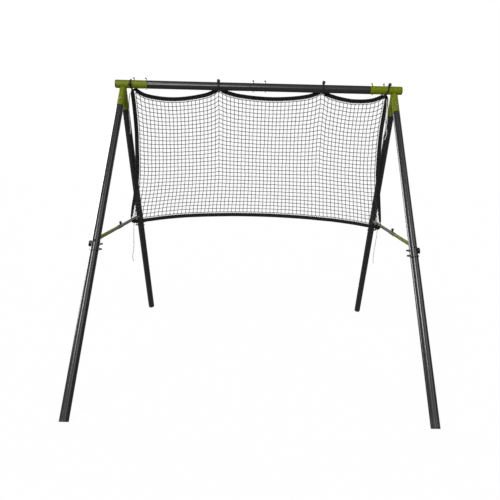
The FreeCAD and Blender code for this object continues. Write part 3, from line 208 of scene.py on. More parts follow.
class Finish:
    """The nodes of a material or a world, with a few words for what its surfaces need."""

    def __init__(self, owner):
        self.owner = owner
        self.owner.use_nodes = True
        self.tree = self.owner.node_tree
        self.tree.nodes.clear()

    def node(self, kind, settings=None, sockets=None, output=0):
        made = self.tree.nodes.new(kind)
        for key, value in (settings or {}).items():
            setattr(made, key, value)
        for key, value in (sockets or {}).items():
            if isinstance(value, Number):
                self.tree.links.new(value.socket, made.inputs[key])
            else:
                made.inputs[key].default_value = value
        return Number(self, made.outputs[output]) if made.outputs else None

    def here(self):
        """The three coordinates of a point on the object, in metres."""
        return self.axes(self.node("ShaderNodeTexCoord", output=3))

    def place(self, stretch=(1, 1, 1)):
        """Where a point is on the object, in metres, with each axis stretched by a factor."""
        here = self.node("ShaderNodeTexCoord", output=3)
        return self.node("ShaderNodeVectorMath", {"operation": "MULTIPLY"}, {0: here, 1: stretch})

    def axes(self, vector):
        """The three parts of a vector."""
        first = self.node("ShaderNodeSeparateXYZ", sockets={0: vector})
        outputs = first.socket.node.outputs
        return [Number(self, outputs[i]) for i in range(3)]

    def unwrapped(self):
        """The piece's own map: once round its section, and metres along it."""
        mapped = self.node("ShaderNodeTexCoord", output=2)
        return self.axes(mapped)[:2]

    def noise(self, vector, scale, detail=2.0, roughness=0.5):
        return self.node("ShaderNodeTexNoise", sockets={"Vector": vector, "Scale": scale,
                                                        "Detail": detail, "Roughness": roughness})

    def mixed(self, factor, first, second):
        """A colour between two colours."""
        return self.node("ShaderNodeMix", {"data_type": "RGBA"},
                         {0: factor, 6: first, 7: second}, output=2)

    def bump(self, height, distance, strength=1.0):
        return self.node("ShaderNodeBump", sockets={"Height": height, "Distance": distance,
                                                    "Strength": strength})

    def made(self, **sockets):
        """Closes the material with one Principled shader and returns it."""
        named = {key.replace("_", " "): value for key, value in sockets.items()}
        shader = self.node("ShaderNodeBsdfPrincipled", sockets=named)
        self.node("ShaderNodeOutputMaterial", sockets={"Surface": shader})
        return self.owner


def new_finish(name):
    return Finish(bpy.data.materials.new(name))


def grey(level):
    return (level, level, level, 1)


# %% [markdown]
# Powder coat is paint that was dust before it was baked. It is smooth from afar, but up close it
# has the soft dimples of an orange's skin. One recipe makes all the colours of the frame: a fine
# noise for the dimples, a wide and faint one for uneven gloss, and a little dust low on the legs.
# The front legs' slip joints get a dark line of painted shade, placed by its distance from the foot
# along the leg.

# %% Powder coats
DIMPLE_SCALE = 420
DIMPLE_DEPTH = 0.00005
CLOUD_SCALE = 9
DUST_LINE = 0.10
DUST = (0.25, 0.22, 0.18, 1)
SEAM_SHADE_PAINT = grey(0.004)
PAINTED_SHADOW_BLACK = grey(0.006)
LEG_LEAN = math.radians(29.3)
FOOT_OUT = 1.0732
FOOT_HEIGHT = 0.0110
JOINT_STATION = 0.951
SEAM_HALF = 0.0045


def painted_seam_shade(finish):
    """1 at the slip joint of a leg, where a dark line of painted shade goes, and 0 elsewhere."""
    _, depth, height = finish.here()
    inward = (FOOT_OUT - depth.size()) * math.sin(LEG_LEAN)
    station = inward + (height - FOOT_HEIGHT) * math.cos(LEG_LEAN)
    return 1 - (station - JOINT_STATION).size().between(SEAM_HALF * 0.5, SEAM_HALF)


def powder_coat(name, dark, light, gloss, specular, shade_joints=False, shadow_behind=None):
    """A baked coat between two colours, with painted shade in the leg seams, or painted black shadow
    behind a place along Y.
    """
    finish = new_finish(name)
    place = finish.place()
    dimples = finish.noise(place, DIMPLE_SCALE, detail=1.0)
    grains = finish.noise(place, DIMPLE_SCALE * 5, detail=0.0)
    clouds = finish.noise(place, CLOUD_SCALE, detail=3.0)
    _, depth, height = finish.here()
    dust = (1 - height.between(0.0, DUST_LINE)) * clouds.between(0.35, 0.75)
    paint = finish.mixed(grains.between(0.35, 0.7) * 0.6 + clouds * 0.4, dark, light)
    colour = finish.mixed(dust * 0.15, paint, DUST)
    # painted shade: a dark line at each front leg's slip joint stands for the shadow in its groove
    if shade_joints:
        colour = finish.mixed(painted_seam_shade(finish) * 0.9, colour, SEAM_SHADE_PAINT)
    # painted shadow: the coat turns black past a place along Y, behind the net
    if shadow_behind:
        colour = finish.mixed(depth.between(*shadow_behind), colour, PAINTED_SHADOW_BLACK)
    return finish.made(Base_Color=colour, Roughness=gloss + clouds * 0.08 + dust * 0.2,
                       Normal=finish.bump(dimples, DIMPLE_DEPTH, 0.5), Specular_IOR_Level=specular)


GREEN_DARK, GREEN_LIGHT = (0.120, 0.150, 0.0015, 1), (0.140, 0.175, 0.0030, 1)
# painted shade: darker, greyer copies of the green coat for the rear brace tubes
PAINTED_SHADE_DARK, PAINTED_SHADE_LIGHT = (0.045, 0.052, 0.022, 1), (0.060, 0.068, 0.030, 1)
BEHIND_NET = (0.352, 0.356)
CHARCOAL = powder_coat("charcoal_powder_coat", grey(0.018), grey(0.025), 0.13, 0.5, shade_joints=True)
NEAR_BLACK = powder_coat("near_black_powder_coat", grey(0.014), grey(0.020), 0.18, 0.5)
GREEN = powder_coat("green_powder_coat", GREEN_DARK, GREEN_LIGHT, 0.34, 0.15)
PAINTED_SHADE_COAT = powder_coat("green_coat_painted_shade", PAINTED_SHADE_DARK, PAINTED_SHADE_LIGHT, 0.26, 0.5)
# painted shadow: the left rear brace tube is black behind the net
PAINTED_SHADOW_END_COAT = powder_coat("green_coat_painted_shadow_end", PAINTED_SHADE_DARK, PAINTED_SHADE_LIGHT, 0.26, 0.5,
                          shadow_behind=BEHIND_NET)
print("powder coats made")

# %% [markdown]
# The small hard parts are moulded black plastic and plated steel. Plastic from a spark-eroded
# mould has a fine even grain. Zinc plate is bright but slightly milky, with faint clouds where the
# passivation is thicker.

# %% Plastic and steel
def moulded_plastic(name, level, gloss):
    finish = new_finish(name)
    place = finish.place()
    grain = finish.noise(place, 1600, detail=1.0)
    patches = finish.noise(place, 60, detail=2.0)
    colour = finish.mixed(patches, grey(level), grey(level * 1.8))
    return finish.made(Base_Color=colour, Roughness=gloss + grain * 0.15,
                       Normal=finish.bump(grain, 0.00006, 0.7))


def plated_steel(name, dark, light, gloss):
    finish = new_finish(name)
    place = finish.place()
    clouds = finish.noise(place, 160, detail=3.0)
    scratches = finish.noise(finish.place((1, 1, 14)), 300, detail=1.0)
    return finish.made(Base_Color=finish.mixed(clouds.between(0.3, 0.7), dark, light), Metallic=1.0,
                       Roughness=gloss + clouds * 0.2, Normal=finish.bump(scratches, 0.00004, 0.5))


BLACK_PLASTIC = moulded_plastic("black_plastic", 0.006, 0.34)
ZINC = plated_steel("zinc_plate", (0.22, 0.225, 0.22, 1), (0.38, 0.38, 0.35, 1), 0.28)
print("plastic and zinc plate made")

# %% [markdown]
# Webbing, twine and cords are woven or braided, and their finishes follow the piece's own map. Hem
# webbing has ribs across it, a darker selvedge on both edges and two rows of stitches. A braided
# cord shows slanted plaits: two families of waves that wind round it in opposite directions. The
# knots have no map, so they get an even and rough finish.

# %% Webbing, twine and cord
WEBBING_RIB = 0.0022
STITCH_LENGTH = 0.006


def webbing():
    """Woven black band with ribs, dark edges and two rows of stitches."""
    finish = new_finish("hem_webbing")
    around, along = finish.unwrapped()
    ribs = (along * (math.tau / WEBBING_RIB)).sine()
    across = (around * math.tau).sine()
    threads = (around * (math.tau * 24)).sine()
    weave = ribs * 0.5 + threads * 0.3 + ribs * threads * 0.4
    edge = across.size().between(0.0, 0.55)
    seam = (1 - (across.size() - 0.42).size().between(0.02, 0.07))
    stitches = seam * (along * (math.tau / STITCH_LENGTH)).sine().between(-0.6, 0.2)
    fibres = finish.noise(finish.place(), 900, detail=2.0)
    cloth = finish.mixed(fibres * 0.6 + weave * 0.2 + 0.1, grey(0.003), grey(0.013))
    colour = finish.mixed(1 - edge, cloth, grey(0.002))
    colour = finish.mixed(stitches * 0.6, colour, grey(0.022))
    return finish.made(Base_Color=colour, Roughness=0.82,
                       Normal=finish.bump(weave + stitches, 0.0003, 0.7), Specular_IOR_Level=0.3,
                       Sheen_Weight=0.05, Sheen_Roughness=0.4)


def braided(name, dark, light, turns, pitch, depth, sheen):
    """Cord with so many plaits round it, each so far from the next along it."""
    finish = new_finish(name)
    around, along = finish.unwrapped()
    one_way = (around * (math.tau * turns) + along * (math.tau / pitch)).sine()
    other_way = (around * (math.tau * turns) - along * (math.tau / pitch)).sine()
    plait = one_way.maths("MAXIMUM", one_way, other_way)
    fibres = finish.noise(finish.place(), 1500, detail=2.0)
    colour = finish.mixed((plait * 0.5 + 0.5) * 0.7 + fibres * 0.3, dark, light)
    return finish.made(Base_Color=colour, Roughness=0.78, Normal=finish.bump(plait, depth, 0.8),
                       Sheen_Weight=sheen, Sheen_Roughness=0.4)


WEBBING = webbing()
TWINE = braided("net_twine", grey(0.006), grey(0.016), 2, 0.007, 0.0003, 0.1)
KNOTTED_TWINE = moulded_plastic("knotted_twine", 0.006, 0.7)
ELASTIC = braided("elastic_cord", grey(0.004), grey(0.014), 4, 0.004, 0.0003, 0.1)
ROPE_DARK, ROPE_LIGHT = (0.34, 0.34, 0.31, 1), (0.56, 0.56, 0.53, 1)
WHITE_ROPE = braided("white_rope", ROPE_DARK, ROPE_LIGHT, 4, 0.005, 0.0004, 0.2)
print("woven and braided finishes made")

# %% [markdown]
# The imported parts are shown as they are, so they only need their finishes. Which part takes which
# slot is in the record, and here each slot is given its real material. The rear tubes of the braces
# have the same green coat, but get darker, greyer copies of it as painted shade, and the left one
# also a painted black shadow behind the net.

# %% Finishes of the imported parts
SLOT_FINISHES = {
    "powder_green": GREEN,
    "powder_charcoal": CHARCOAL,
    "powder_black": NEAR_BLACK,
    "black_plastic": BLACK_PLASTIC,
    "zinc_steel": ZINC,
    "net_twine": TWINE,
    "hem_webbing": WEBBING,
    "elastic_cord": ELASTIC,
    "white_rope": WHITE_ROPE,
}
# painted shade: the rear brace tubes get shaded copies of the green coat
NODE_FINISHES = {
    "brace_rear_left": PAINTED_SHADOW_END_COAT,
    "brace_rear_right": PAINTED_SHADE_COAT,
}
for entry in frame["record"]["subparts"]:
    finish = NODE_FINISHES.get(entry["node"], SLOT_FINISHES[entry["material_slot"]])
    part = nodes[entry["node"]]
    for place in part.material_slots:
        place.material = finish

# %% [markdown]
# The loose tails of the white tie cord come next, because cords decide how much room the model
# takes. Each hangs from a corner of the net. A hanging cord could be simulated, but these are limp
# and short and the photograph shows their every bend, so each follows its own few points on one
# smooth spline.

# %% White tails
CORD_DIAMETER = 0.0055
TAILS = {
    "tail_top_left": [
        (-0.952, 0.0453, 1.9004), (-0.957, 0.0420, 1.8604), (-0.957, 0.0410, 1.8004),
        (-0.9555, 0.0420, 1.7484), (-0.952, 0.0410, 1.7064), (-0.946, 0.0395, 1.6684),
        (-0.943, 0.0400, 1.6334), (-0.944, 0.0390, 1.6004),
    ],
    "tail_top_right_outer": [
        (0.957, 0.0441, 1.9054), (0.9585, 0.0415, 1.8604), (0.9575, 0.0410, 1.8004),
        (0.958, 0.0400, 1.7454), (0.953, 0.0400, 1.7034), (0.944, 0.0395, 1.6724),
        (0.938, 0.0390, 1.6404), (0.927, 0.0385, 1.6094),
    ],
    "tail_top_right_inner": [
        (0.947, 0.0452, 1.9004), (0.952, 0.0480, 1.8664), (0.9515, 0.0490, 1.8234),
        (0.947, 0.0480, 1.7824), (0.9455, 0.0480, 1.7494), (0.948, 0.0480, 1.7184),
        (0.957, 0.0480, 1.6804), (0.960, 0.0480, 1.6524), (0.953, 0.0470, 1.6244),
        (0.946, 0.0465, 1.6004),
    ],
    "tail_low_left": [
        (-0.985, 0.3460, 0.8970), (-0.987, 0.3460, 0.8470), (-0.987, 0.3470, 0.8010),
        (-0.985, 0.3480, 0.7550), (-0.9855, 0.3490, 0.7120), (-0.988, 0.3480, 0.6670),
        (-0.996, 0.3470, 0.6270), (-0.987, 0.3460, 0.5890),
    ],
    "tail_low_right": [
        (0.985, 0.3494, 0.8855), (0.982, 0.3494, 0.8415), (0.975, 0.3504, 0.7955),
        (0.970, 0.3504, 0.7555), (0.964, 0.3514, 0.7175), (0.960, 0.3504, 0.6795),
        (0.9575, 0.3494, 0.6435), (0.960, 0.3484, 0.6095),
    ],
}


def smooth_route(name, places):
    """Points along one smooth spline that has the given places as its control points."""
    data = bpy.data.curves.new(name + "_route", "CURVE")
    data.dimensions = "3D"
    data.resolution_u = 12
    spline = data.splines.new("NURBS")
    spline.points.add(len(places) - 1)
    for point, place in zip(spline.points, places):
        point.co = (*place, 1)
    spline.order_u = 3
    spline.use_endpoint_u = True
    line = bpy.data.objects.new(name + "_route", data)
    bpy.context.scene.collection.objects.link(line)
    bpy.context.view_layer.update()
    mesh = bpy.data.meshes.new_from_object(line.evaluated_get(bpy.context.evaluated_depsgraph_get()))
    points = [vertex.co.copy() for vertex in mesh.vertices]
    bpy.data.meshes.remove(mesh)
    bpy.data.objects.remove(line)
    return points


def length_of(points):
    return sum((b - a).length for a, b in zip(points, points[1:]))


ROPE_SECTION = round_section(CORD_DIAMETER / 2, 12)
for name, places in TAILS.items():
    points = smooth_route(name, places)

    def rope(mesh, uv_layer):
        add_sweep(mesh, uv_layer, points, Vector((0, 1, 0)), ROPE_SECTION)

    piece = new_piece(name + "_rope", rope, WHITE_ROPE, (name,))
    print(name, "is", round(length_of(points), 3), "m long")

# %% [markdown]
# The net hangs in one slanted plane, so its pieces are laid out flat first, across and up the
# slope, and one function puts them into the frame. The plane just misses the back of the bar and
# meets the side braces behind their middles.

# %% The net's plane
NET_ORIGIN = Vector((0, 0.0305, 1.9674))
NET_LEAN = math.radians(16.434)
UP_SLOPE = Vector((0, -math.sin(NET_LEAN), math.cos(NET_LEAN)))
NET_FRONT = Vector((0, -math.cos(NET_LEAN), -math.sin(NET_LEAN)))
BRACE_LEVEL = -1.0802


def in_net(across, level, proud=0.0):
    """A point from its place across the net, its level in the net's plane and its height over it."""
    return NET_ORIGIN + Vector((across, 0, 0)) + UP_SLOPE * level + NET_FRONT * proud


def kept_within(value, low, high):
    return max(min(value, high), low)


def smooth_value(stations, x):
    """The value at x of a smooth line through a few stations, each a pair of place and value."""
    last = len(stations) - 1
    i = 0
    while i < last - 1 and x > stations[i + 1][0]:
        i += 1
    (x0, y0), (x1, y1) = stations[i], stations[i + 1]
    before = stations[max(i - 1, 0)]
    after = stations[min(i + 2, last)]
    slope0 = (y1 - before[1]) / (x1 - before[0])
    slope1 = (after[1] - y0) / (after[0] - x0)
    run = x1 - x0
    t = (x - x0) / run
    return ((2 * t ** 3 - 3 * t ** 2 + 1) * y0 + (t ** 3 - 2 * t ** 2 + t) * run * slope0
            + (3 * t ** 2 - 2 * t ** 3) * y1 + (t ** 3 - t ** 2) * run * slope1)


print("the net leans by", round(math.degrees(NET_LEAN), 1), "degrees")

# %% [markdown]
# The hem of the net is a folded band of webbing. Its top edge hangs in three scallops between the
# four elastic loops, and its sides and its lower edge are pulled into shallow curves. Each edge was
# measured at a few stations, in metres: across and level for the upper and lower hems, and level
# and across for the side ones. A smooth line runs through them.

# %% The hem's lines
HEM_WIDTH = 0.030
HANGS = (-0.928, -0.294, 0.470, 0.933)
SCALLOPS = (
    ((-0.938, -0.017), (-0.925, -0.019), (-0.875, -0.053), (-0.832, -0.071), (-0.744, -0.087),
     (-0.656, -0.0925), (-0.567, -0.088), (-0.477, -0.074), (-0.389, -0.054), (-0.344, -0.036),
     (-0.294, -0.010)),
    ((-0.294, -0.010), (-0.255, -0.028), (-0.211, -0.041), (-0.167, -0.052), (-0.078, -0.064),
     (0.011, -0.071), (0.100, -0.0735), (0.189, -0.070), (0.278, -0.062), (0.366, -0.047),
     (0.412, -0.032), (0.470, -0.008)),
    ((0.470, -0.008), (0.501, -0.029), (0.546, -0.044), (0.589, -0.056), (0.680, -0.0725),
     (0.725, -0.0745), (0.769, -0.074), (0.814, -0.070), (0.857, -0.061), (0.901, -0.043),
     (0.933, -0.022), (0.944, -0.020)),
)
LEFT_HEM = ((-1.057, -1.0015), (-1.039, -0.997), (-0.987, -0.988), (-0.885, -0.965), (-0.784, -0.946),
            (-0.685, -0.933), (-0.587, -0.928), (-0.491, -0.925), (-0.397, -0.922), (-0.304, -0.922),
            (-0.213, -0.925), (-0.123, -0.930), (-0.069, -0.934), (-0.050, -0.932), (-0.040, -0.929))
RIGHT_HEM = ((-1.057, 1.0000), (-0.957, 0.984), (-0.854, 0.968), (-0.754, 0.953), (-0.655, 0.941),
             (-0.557, 0.936), (-0.460, 0.933), (-0.320, 0.933), (-0.228, 0.938), (-0.137, 0.945),
             (-0.072, 0.949), (-0.054, 0.945), (-0.043, 0.939))
LOW_HEM = ((-0.955, -1.080), (-0.851, -1.065), (-0.754, -1.049), (-0.657, -1.036), (-0.561, -1.026),
           (-0.465, -1.0195), (-0.368, -1.0135), (-0.272, -1.0095), (-0.176, -1.0065), (0.0, -1.005),
           (0.209, -1.009), (0.403, -1.0185), (0.500, -1.026), (0.597, -1.0335), (0.694, -1.045),
           (0.792, -1.058), (0.891, -1.075), (0.955, -1.085))
LOW_REACH = 0.955
LOWEST = -1.057


def hem_top_level(x):
    """The level of the top hem's upper edge."""
    for scallop in SCALLOPS[:-1]:
        if x <= scallop[-1][0]:
            return smooth_value(scallop, x)
    return smooth_value(SCALLOPS[-1], x)


def top_level_inside(x):
    """The same between the outer loops, and beyond them the level at the nearer loop."""
    return hem_top_level(kept_within(x, HANGS[0], HANGS[3]))


def low_level_inside(x):
    """The level of the low hem's upper edge, and beyond its ends the level at the nearer end."""
    return smooth_value(LOW_HEM, kept_within(x, -LOW_REACH, LOW_REACH))


print("height of the net's middle:", round(top_level_inside(0) - low_level_inside(0) + HEM_WIDTH, 3))

# %% [markdown]
# A hem is a flat band with rolled edges: two layers of cloth with the net's border cord sewn in.
# Its section is drawn once, thin in the middle and full at both edges, and swept along the line.
# At each loop the elastic gathers the top hem, so there the band gets narrower and thicker.

# %% The hem's section
BAND_EDGE = 0.0019
BAND_SECTION = [(-1.0, 0.0), (-0.94, 0.85), (-0.82, 1.0), (-0.70, 0.55), (-0.35, 0.5), (0.0, 0.5),
                (0.35, 0.5), (0.70, 0.55), (0.82, 1.0), (0.94, 0.85), (1.0, 0.0), (0.94, -0.85),
                (0.82, -1.0), (0.70, -0.55), (0.35, -0.5), (0.0, -0.5), (-0.35, -0.5), (-0.70, -0.55),
                (-0.82, -1.0), (-0.94, -0.85)]
GATHER_REACH = 0.020
GATHER_WIDTH = 0.35
GATHER_THICKNESS = 0.25


def band_section():
    return [(a * HEM_WIDTH / 2, b * BAND_EDGE) for a, b in BAND_SECTION]


def gathered(x):
    """How gathered the top hem is at a place across it, from 0 to 1."""
    return max(math.exp(-((x - hang) / GATHER_REACH) ** 2) for hang in HANGS)


def ripple(i, depth):
    """A slow wave that keeps long bands from looking ruled."""
    return depth * (math.sin(i * 0.21) * 0.6 + math.sin(i * 0.083 + 1.3) * 0.4)


print("points of the hem's section:", len(BAND_SECTION))

# %% [markdown]
# The four bands are made from their lines. The top band's own middle lies half its width under its
# upper edge. The side bands taper where they run out to the corner straps, and at their tops they
# are drawn together into the same gather as the top band.

# %% Hem bands
TOP_LEFT_END = -0.938
TOP_LENGTH = 1.882
TOP_STEPS = 260
SIDE_STEPS = 120
LOW_STEPS = 200
SIDE_GATHER = 0.035
FOOT_SHARE = 0.55
FOOT_TAPER = 0.22
LOW_TAPER = 0.06


def top_band(mesh, uv_layer):
    evenly = {round(TOP_LEFT_END + TOP_LENGTH * i / TOP_STEPS, 5) for i in range(TOP_STEPS + 1)}
    places = sorted(evenly | set(HANGS))
    points = []
    sizes = []
    for i, x in enumerate(places):
        pull = gathered(x)
        half = HEM_WIDTH / 2 * (1 - GATHER_WIDTH * pull)
        points.append(in_net(x, hem_top_level(x) - half, ripple(i, 0.0006) * (1 - pull)))
        sizes.append((1 - GATHER_WIDTH * pull, 1 + GATHER_THICKNESS * pull))
    add_sweep(mesh, uv_layer, points, NET_FRONT, band_section(), sizes)


def side_band(line):
    def build(mesh, uv_layer):
        low, high = line[0][0], line[-1][0]
        points = []
        sizes = []
        for i in range(SIDE_STEPS + 1):
            share = i / SIDE_STEPS
            level = low + (high - low) * share
            points.append(in_net(smooth_value(line, level), level, ripple(i, 0.0008)))
            foot = FOOT_SHARE + (1 - FOOT_SHARE) * min(share / FOOT_TAPER, 1) ** 0.7
            pull = max(0.0, 1 - (high - level) / SIDE_GATHER)
            sizes.append((foot * (1 - GATHER_WIDTH * pull), 1 + 0.6 * pull))
        add_sweep(mesh, uv_layer, points, NET_FRONT, band_section(), sizes)
    return build


def low_band(mesh, uv_layer):
    points = []
    sizes = []
    for i in range(LOW_STEPS + 1):
        x = -LOW_REACH + 2 * LOW_REACH * i / LOW_STEPS
        points.append(in_net(x, smooth_value(LOW_HEM, x) - HEM_WIDTH / 2, ripple(i, 0.0008)))
        end = min((x + LOW_REACH) / LOW_TAPER, (LOW_REACH - x) / LOW_TAPER, 1)
        sizes.append((0.8 + 0.2 * end, 1))
    add_sweep(mesh, uv_layer, points, NET_FRONT, band_section(), sizes)


new_piece("hem_band_top", top_band, WEBBING, ("hem_top",))
new_piece("hem_band_left", side_band(LEFT_HEM), WEBBING, ("hem_left",))
new_piece("hem_band_right", side_band(RIGHT_HEM), WEBBING, ("hem_right",))
new_piece("hem_band_low", low_band, WEBBING, ("hem_bottom",))

# %% [markdown]
# The net is knotted from twine, with square meshes about 30 mm wide. It is laid out as a grid of
# knots between the four hems. Near the top its rows follow the scallops, and lower down they
# straighten. The side hems turn sharply at their ends, so the grid follows them only between two
# levels. Hand-tied knots never line up, so each is moved a little by chance, from a fixed seed.

# %% The grid of knots
COLUMNS = 63
ROWS = 30
TWINE_RADIUS = 0.0023
KNOT_RADIUS = 0.0042
KNOT_WANDER = 0.0015
TOP_MEAN = -0.098
SCALLOP_FADE = 1.7
BORDER = 0.010
HIGHEST_LEFT = -0.069
HIGHEST_RIGHT = -0.062
HALF_WIDTH = 0.93
ROUNDS = 4


def knot_place(across, upward):
    """A place in the net, from 0 to 1 across it and from 0 to 1 up it, found in a few rounds."""
    x = HALF_WIDTH * (2 * across - 1)
    for _ in range(ROUNDS):
        low = low_level_inside(x) + BORDER
        top = top_level_inside(x) - HEM_WIDTH * (1 - GATHER_WIDTH * gathered(x)) - BORDER
        straight = TOP_MEAN - BORDER
        level = low + (straight - low) * upward + (top - straight) * upward ** SCALLOP_FADE
        left_hem = smooth_value(LEFT_HEM, kept_within(level, LOWEST, HIGHEST_LEFT))
        right_hem = smooth_value(RIGHT_HEM, kept_within(level, LOWEST, HIGHEST_RIGHT))
        left = left_hem + HEM_WIDTH / 2 + BORDER
        right = right_hem - HEM_WIDTH / 2 - BORDER
        x = left + (right - left) * across
    return x, level


random.seed(11)
knots = {}
for column in range(COLUMNS + 1):
    for row in range(ROWS + 1):
        x, level = knot_place(column / COLUMNS, row / ROWS)
        loose = 0.3 if column in (0, COLUMNS) or row in (0, ROWS) else 1.0
        knots[column, row] = (x + random.uniform(-1, 1) * KNOT_WANDER * loose,
                              level + random.uniform(-1, 1) * KNOT_WANDER * loose)
print("knots", len(knots))

# %% [markdown]
# Twine runs from knot to knot, and each length is a little slack, so it bows. Rows and columns are
# swept as long cords with a point at each knot and one between. Where the net meets its hem, a
# lacing cord zigzags between the border knots and the band, a little under its edge.

# %% Twine
TWINE_SECTION = round_section(TWINE_RADIUS, 5)
LACING_SECTION = round_section(TWINE_RADIUS * 0.8, 5)
SLACK = 0.0011
CROSSING = 0.0004
TUCK = 0.004


def bowed_run(places, proud):
    """The points of one length of twine through its knots, with a slack middle in each mesh."""
    points = []
    for i, (x, level) in enumerate(places):
        if i:
            x0, level0 = places[i - 1]
            points.append(in_net((x + x0) / 2 + random.uniform(-1, 1) * SLACK,
                                 (level + level0) / 2 + random.uniform(-1, 0.6) * SLACK, proud))
        points.append(in_net(x, level, -proud * 0.5))
    return points


def twine(mesh, uv_layer):
    for row in range(ROWS + 1):
        places = [knots[column, row] for column in range(COLUMNS + 1)]
        add_sweep(mesh, uv_layer, bowed_run(places, CROSSING), NET_FRONT, TWINE_SECTION)
    for column in range(COLUMNS + 1):
        places = [knots[column, row] for row in range(ROWS + 1)]
        add_sweep(mesh, uv_layer, bowed_run(places, -CROSSING), NET_FRONT, TWINE_SECTION)


def lacing(mesh, uv_layer):
    along_top = []
    for column in range(COLUMNS + 1):
        x, level = knots[column, ROWS]
        along_top.append(in_net(x, level))
        if column < COLUMNS:
            middle = (x + knots[column + 1, ROWS][0]) / 2
            width = HEM_WIDTH * (1 - GATHER_WIDTH * gathered(middle))
            along_top.append(in_net(middle, top_level_inside(middle) - width + TUCK))
    along_low = []
    for column in range(COLUMNS + 1):
        x, level = knots[column, 0]
        along_low.append(in_net(x, level))
        if column < COLUMNS:
            middle = (x + knots[column + 1, 0][0]) / 2
            along_low.append(in_net(middle, low_level_inside(middle) - TUCK))
    runs = [along_top, along_low]
    for column, line, inward in ((0, LEFT_HEM, 1), (COLUMNS, RIGHT_HEM, -1)):
        along_side = []
        for row in range(ROWS + 1):
            x, level = knots[column, row]
            along_side.append(in_net(x, level))
            if row < ROWS:
                middle = (level + knots[column, row + 1][1]) / 2
                held = kept_within(middle, line[0][0], line[-1][0])
                edge = smooth_value(line, held) + inward * (HEM_WIDTH / 2 - TUCK)
                along_side.append(in_net(edge, middle))
        runs.append(along_side)
    for points in runs:
        add_sweep(mesh, uv_layer, points, NET_FRONT, LACING_SECTION)


new_piece("net_twine_runs", twine, TWINE, ("net_panel",))
new_piece("net_lacing", lacing, TWINE)

# %% [markdown]
# A knot is two bights pulled tight, about twice as thick as the twine. There are nearly two
# thousand, so one is modelled with few faces, and copies of it are joined into one piece, each
# turned by chance.

# %% Knots
deselect_all()
bpy.ops.mesh.primitive_ico_sphere_add(subdivisions=1, radius=KNOT_RADIUS)
pattern_knot = bpy.context.object
bpy.ops.object.mode_set(mode="EDIT")
bpy.ops.mesh.select_all(action="SELECT")
bpy.ops.transform.resize(value=(1.1, 0.95, 0.75))
bpy.ops.mesh.vertices_smooth(factor=0.2)
bpy.ops.object.mode_set(mode="OBJECT")
knot_corners = [vertex.co.copy() for vertex in pattern_knot.data.vertices]
knot_faces = [tuple(face.vertices) for face in pattern_knot.data.polygons]
bpy.data.objects.remove(pattern_knot)


def all_knots(mesh, uv_layer):
    for x, level in knots.values():
        turn = Matrix.Rotation(random.uniform(0, math.pi), 3, "Y")
        turn = turn @ Matrix.Rotation(random.uniform(-0.5, 0.5), 3, "X")
        grown = random.uniform(0.9, 1.15)
        centre = in_net(x, level)
        corners = [mesh.verts.new(centre + turn @ corner * grown) for corner in knot_corners]
        for face in knot_faces:
            mesh.faces.new([corners[i] for i in face]).smooth = True


new_piece("net_knots", all_knots, KNOTTED_TWINE)

# %% [markdown]
# The net hangs from four ball loops. Each is one length of elastic cord with both ends knotted
# inside a plastic ball. The doubled cord goes over the bar, down its back, under the hem and up
# again, and its bight hooks over the ball's neck. Seen from the side it is a belt round a few
# wheels, so tangents and arcs give its line. The two outer loops lean sideways, so each loop is
# made in a plane of its own, and that plane is then turned about the bar.

# %% The loops' line
BAR_HEIGHT = 1.95843
BAR_RADIUS = 0.030
BALL_RADIUS = 0.0125
BALL_RISE = 0.0186
ELASTIC_RADIUS = CORD_DIAMETER / 2
SEAT = 0.0003
HEM_HALF = 0.0015
HEM_GATHER = 0.0035
GATHER_LEAN = 0.0126
FRONT_SPREAD = 0.0029
ARC_STEP = 0.0015
LOOPS = (
    (-0.928, -0.016, 97, -5.0),
    (-0.294, -0.010, 45, 0.0),
    (0.470, -0.008, 28, 0.0),
    (0.933, -0.021, 37, 15.5),
)


def belt(wheels):
    """Points along the line that touches each wheel in turn, from the first's middle to the last's."""
    spans = []
    for (a, b, r), (c, d, s) in zip(wheels, wheels[1:]):
        gap = math.hypot(c - a, d - b)
        normal = math.atan2(d - b, c - a) - math.acos((r - s) / gap)
        spans.append((normal, (a + r * math.cos(normal), b + r * math.sin(normal)),
                      (c + s * math.cos(normal), d + s * math.sin(normal))))
    points = [Vector(spans[0][1])]
    for i, (normal, start, end) in enumerate(spans):
        if i:
            y, z, radius = wheels[i]
            turned_from = spans[i - 1][0]
            sweep = (normal - turned_from) % math.tau
            steps = max(int(sweep * radius / ARC_STEP), 3)
            for k in range(steps + 1):
                angle = turned_from + sweep * k / steps
                points.append(Vector((y + radius * math.cos(angle), z + radius * math.sin(angle))))
        points.append(Vector(start).lerp(Vector(end), 0.5))
    points.append(Vector(spans[-1][2]))
    return points


def wheels_of(level, turn, slant):
    """The ball, and all the wheels, in the loop's own plane, which may lean to one side."""
    angle = math.radians(turn)
    steep = math.cos(math.radians(slant))
    lean = abs(math.tan(math.radians(slant)))
    slack = FRONT_SPREAD * lean
    rise = BAR_RADIUS + BALL_RISE
    ball = (-rise * math.sin(angle), rise * math.cos(angle), 0.0)
    bar = (0.0, 0.0, (BAR_RADIUS + SEAT) / steep + ELASTIC_RADIUS + slack)
    hem_radius = HEM_HALF + SEAT + ELASTIC_RADIUS + slack
    under = in_net(0, level - HEM_WIDTH - HEM_GATHER - GATHER_LEAN * lean)
    over = in_net(0, level)
    wheels = [ball, bar]
    wheels += [(place.y, (place.z - BAR_HEIGHT) / steep, hem_radius) for place in (under, over)]
    return ball, wheels + [bar, ball]


def loop_place(x, level, slant):
    """The move from a loop's own plane to the frame."""
    drop = BAR_HEIGHT - in_net(0, level - HEM_WIDTH / 2).z
    pivot = Vector((x + drop * math.tan(math.radians(slant)), 0, BAR_HEIGHT))
    return Matrix.Translation(pivot) @ Matrix.Rotation(math.radians(slant), 4, "Y")


print("loops:", len(LOOPS))

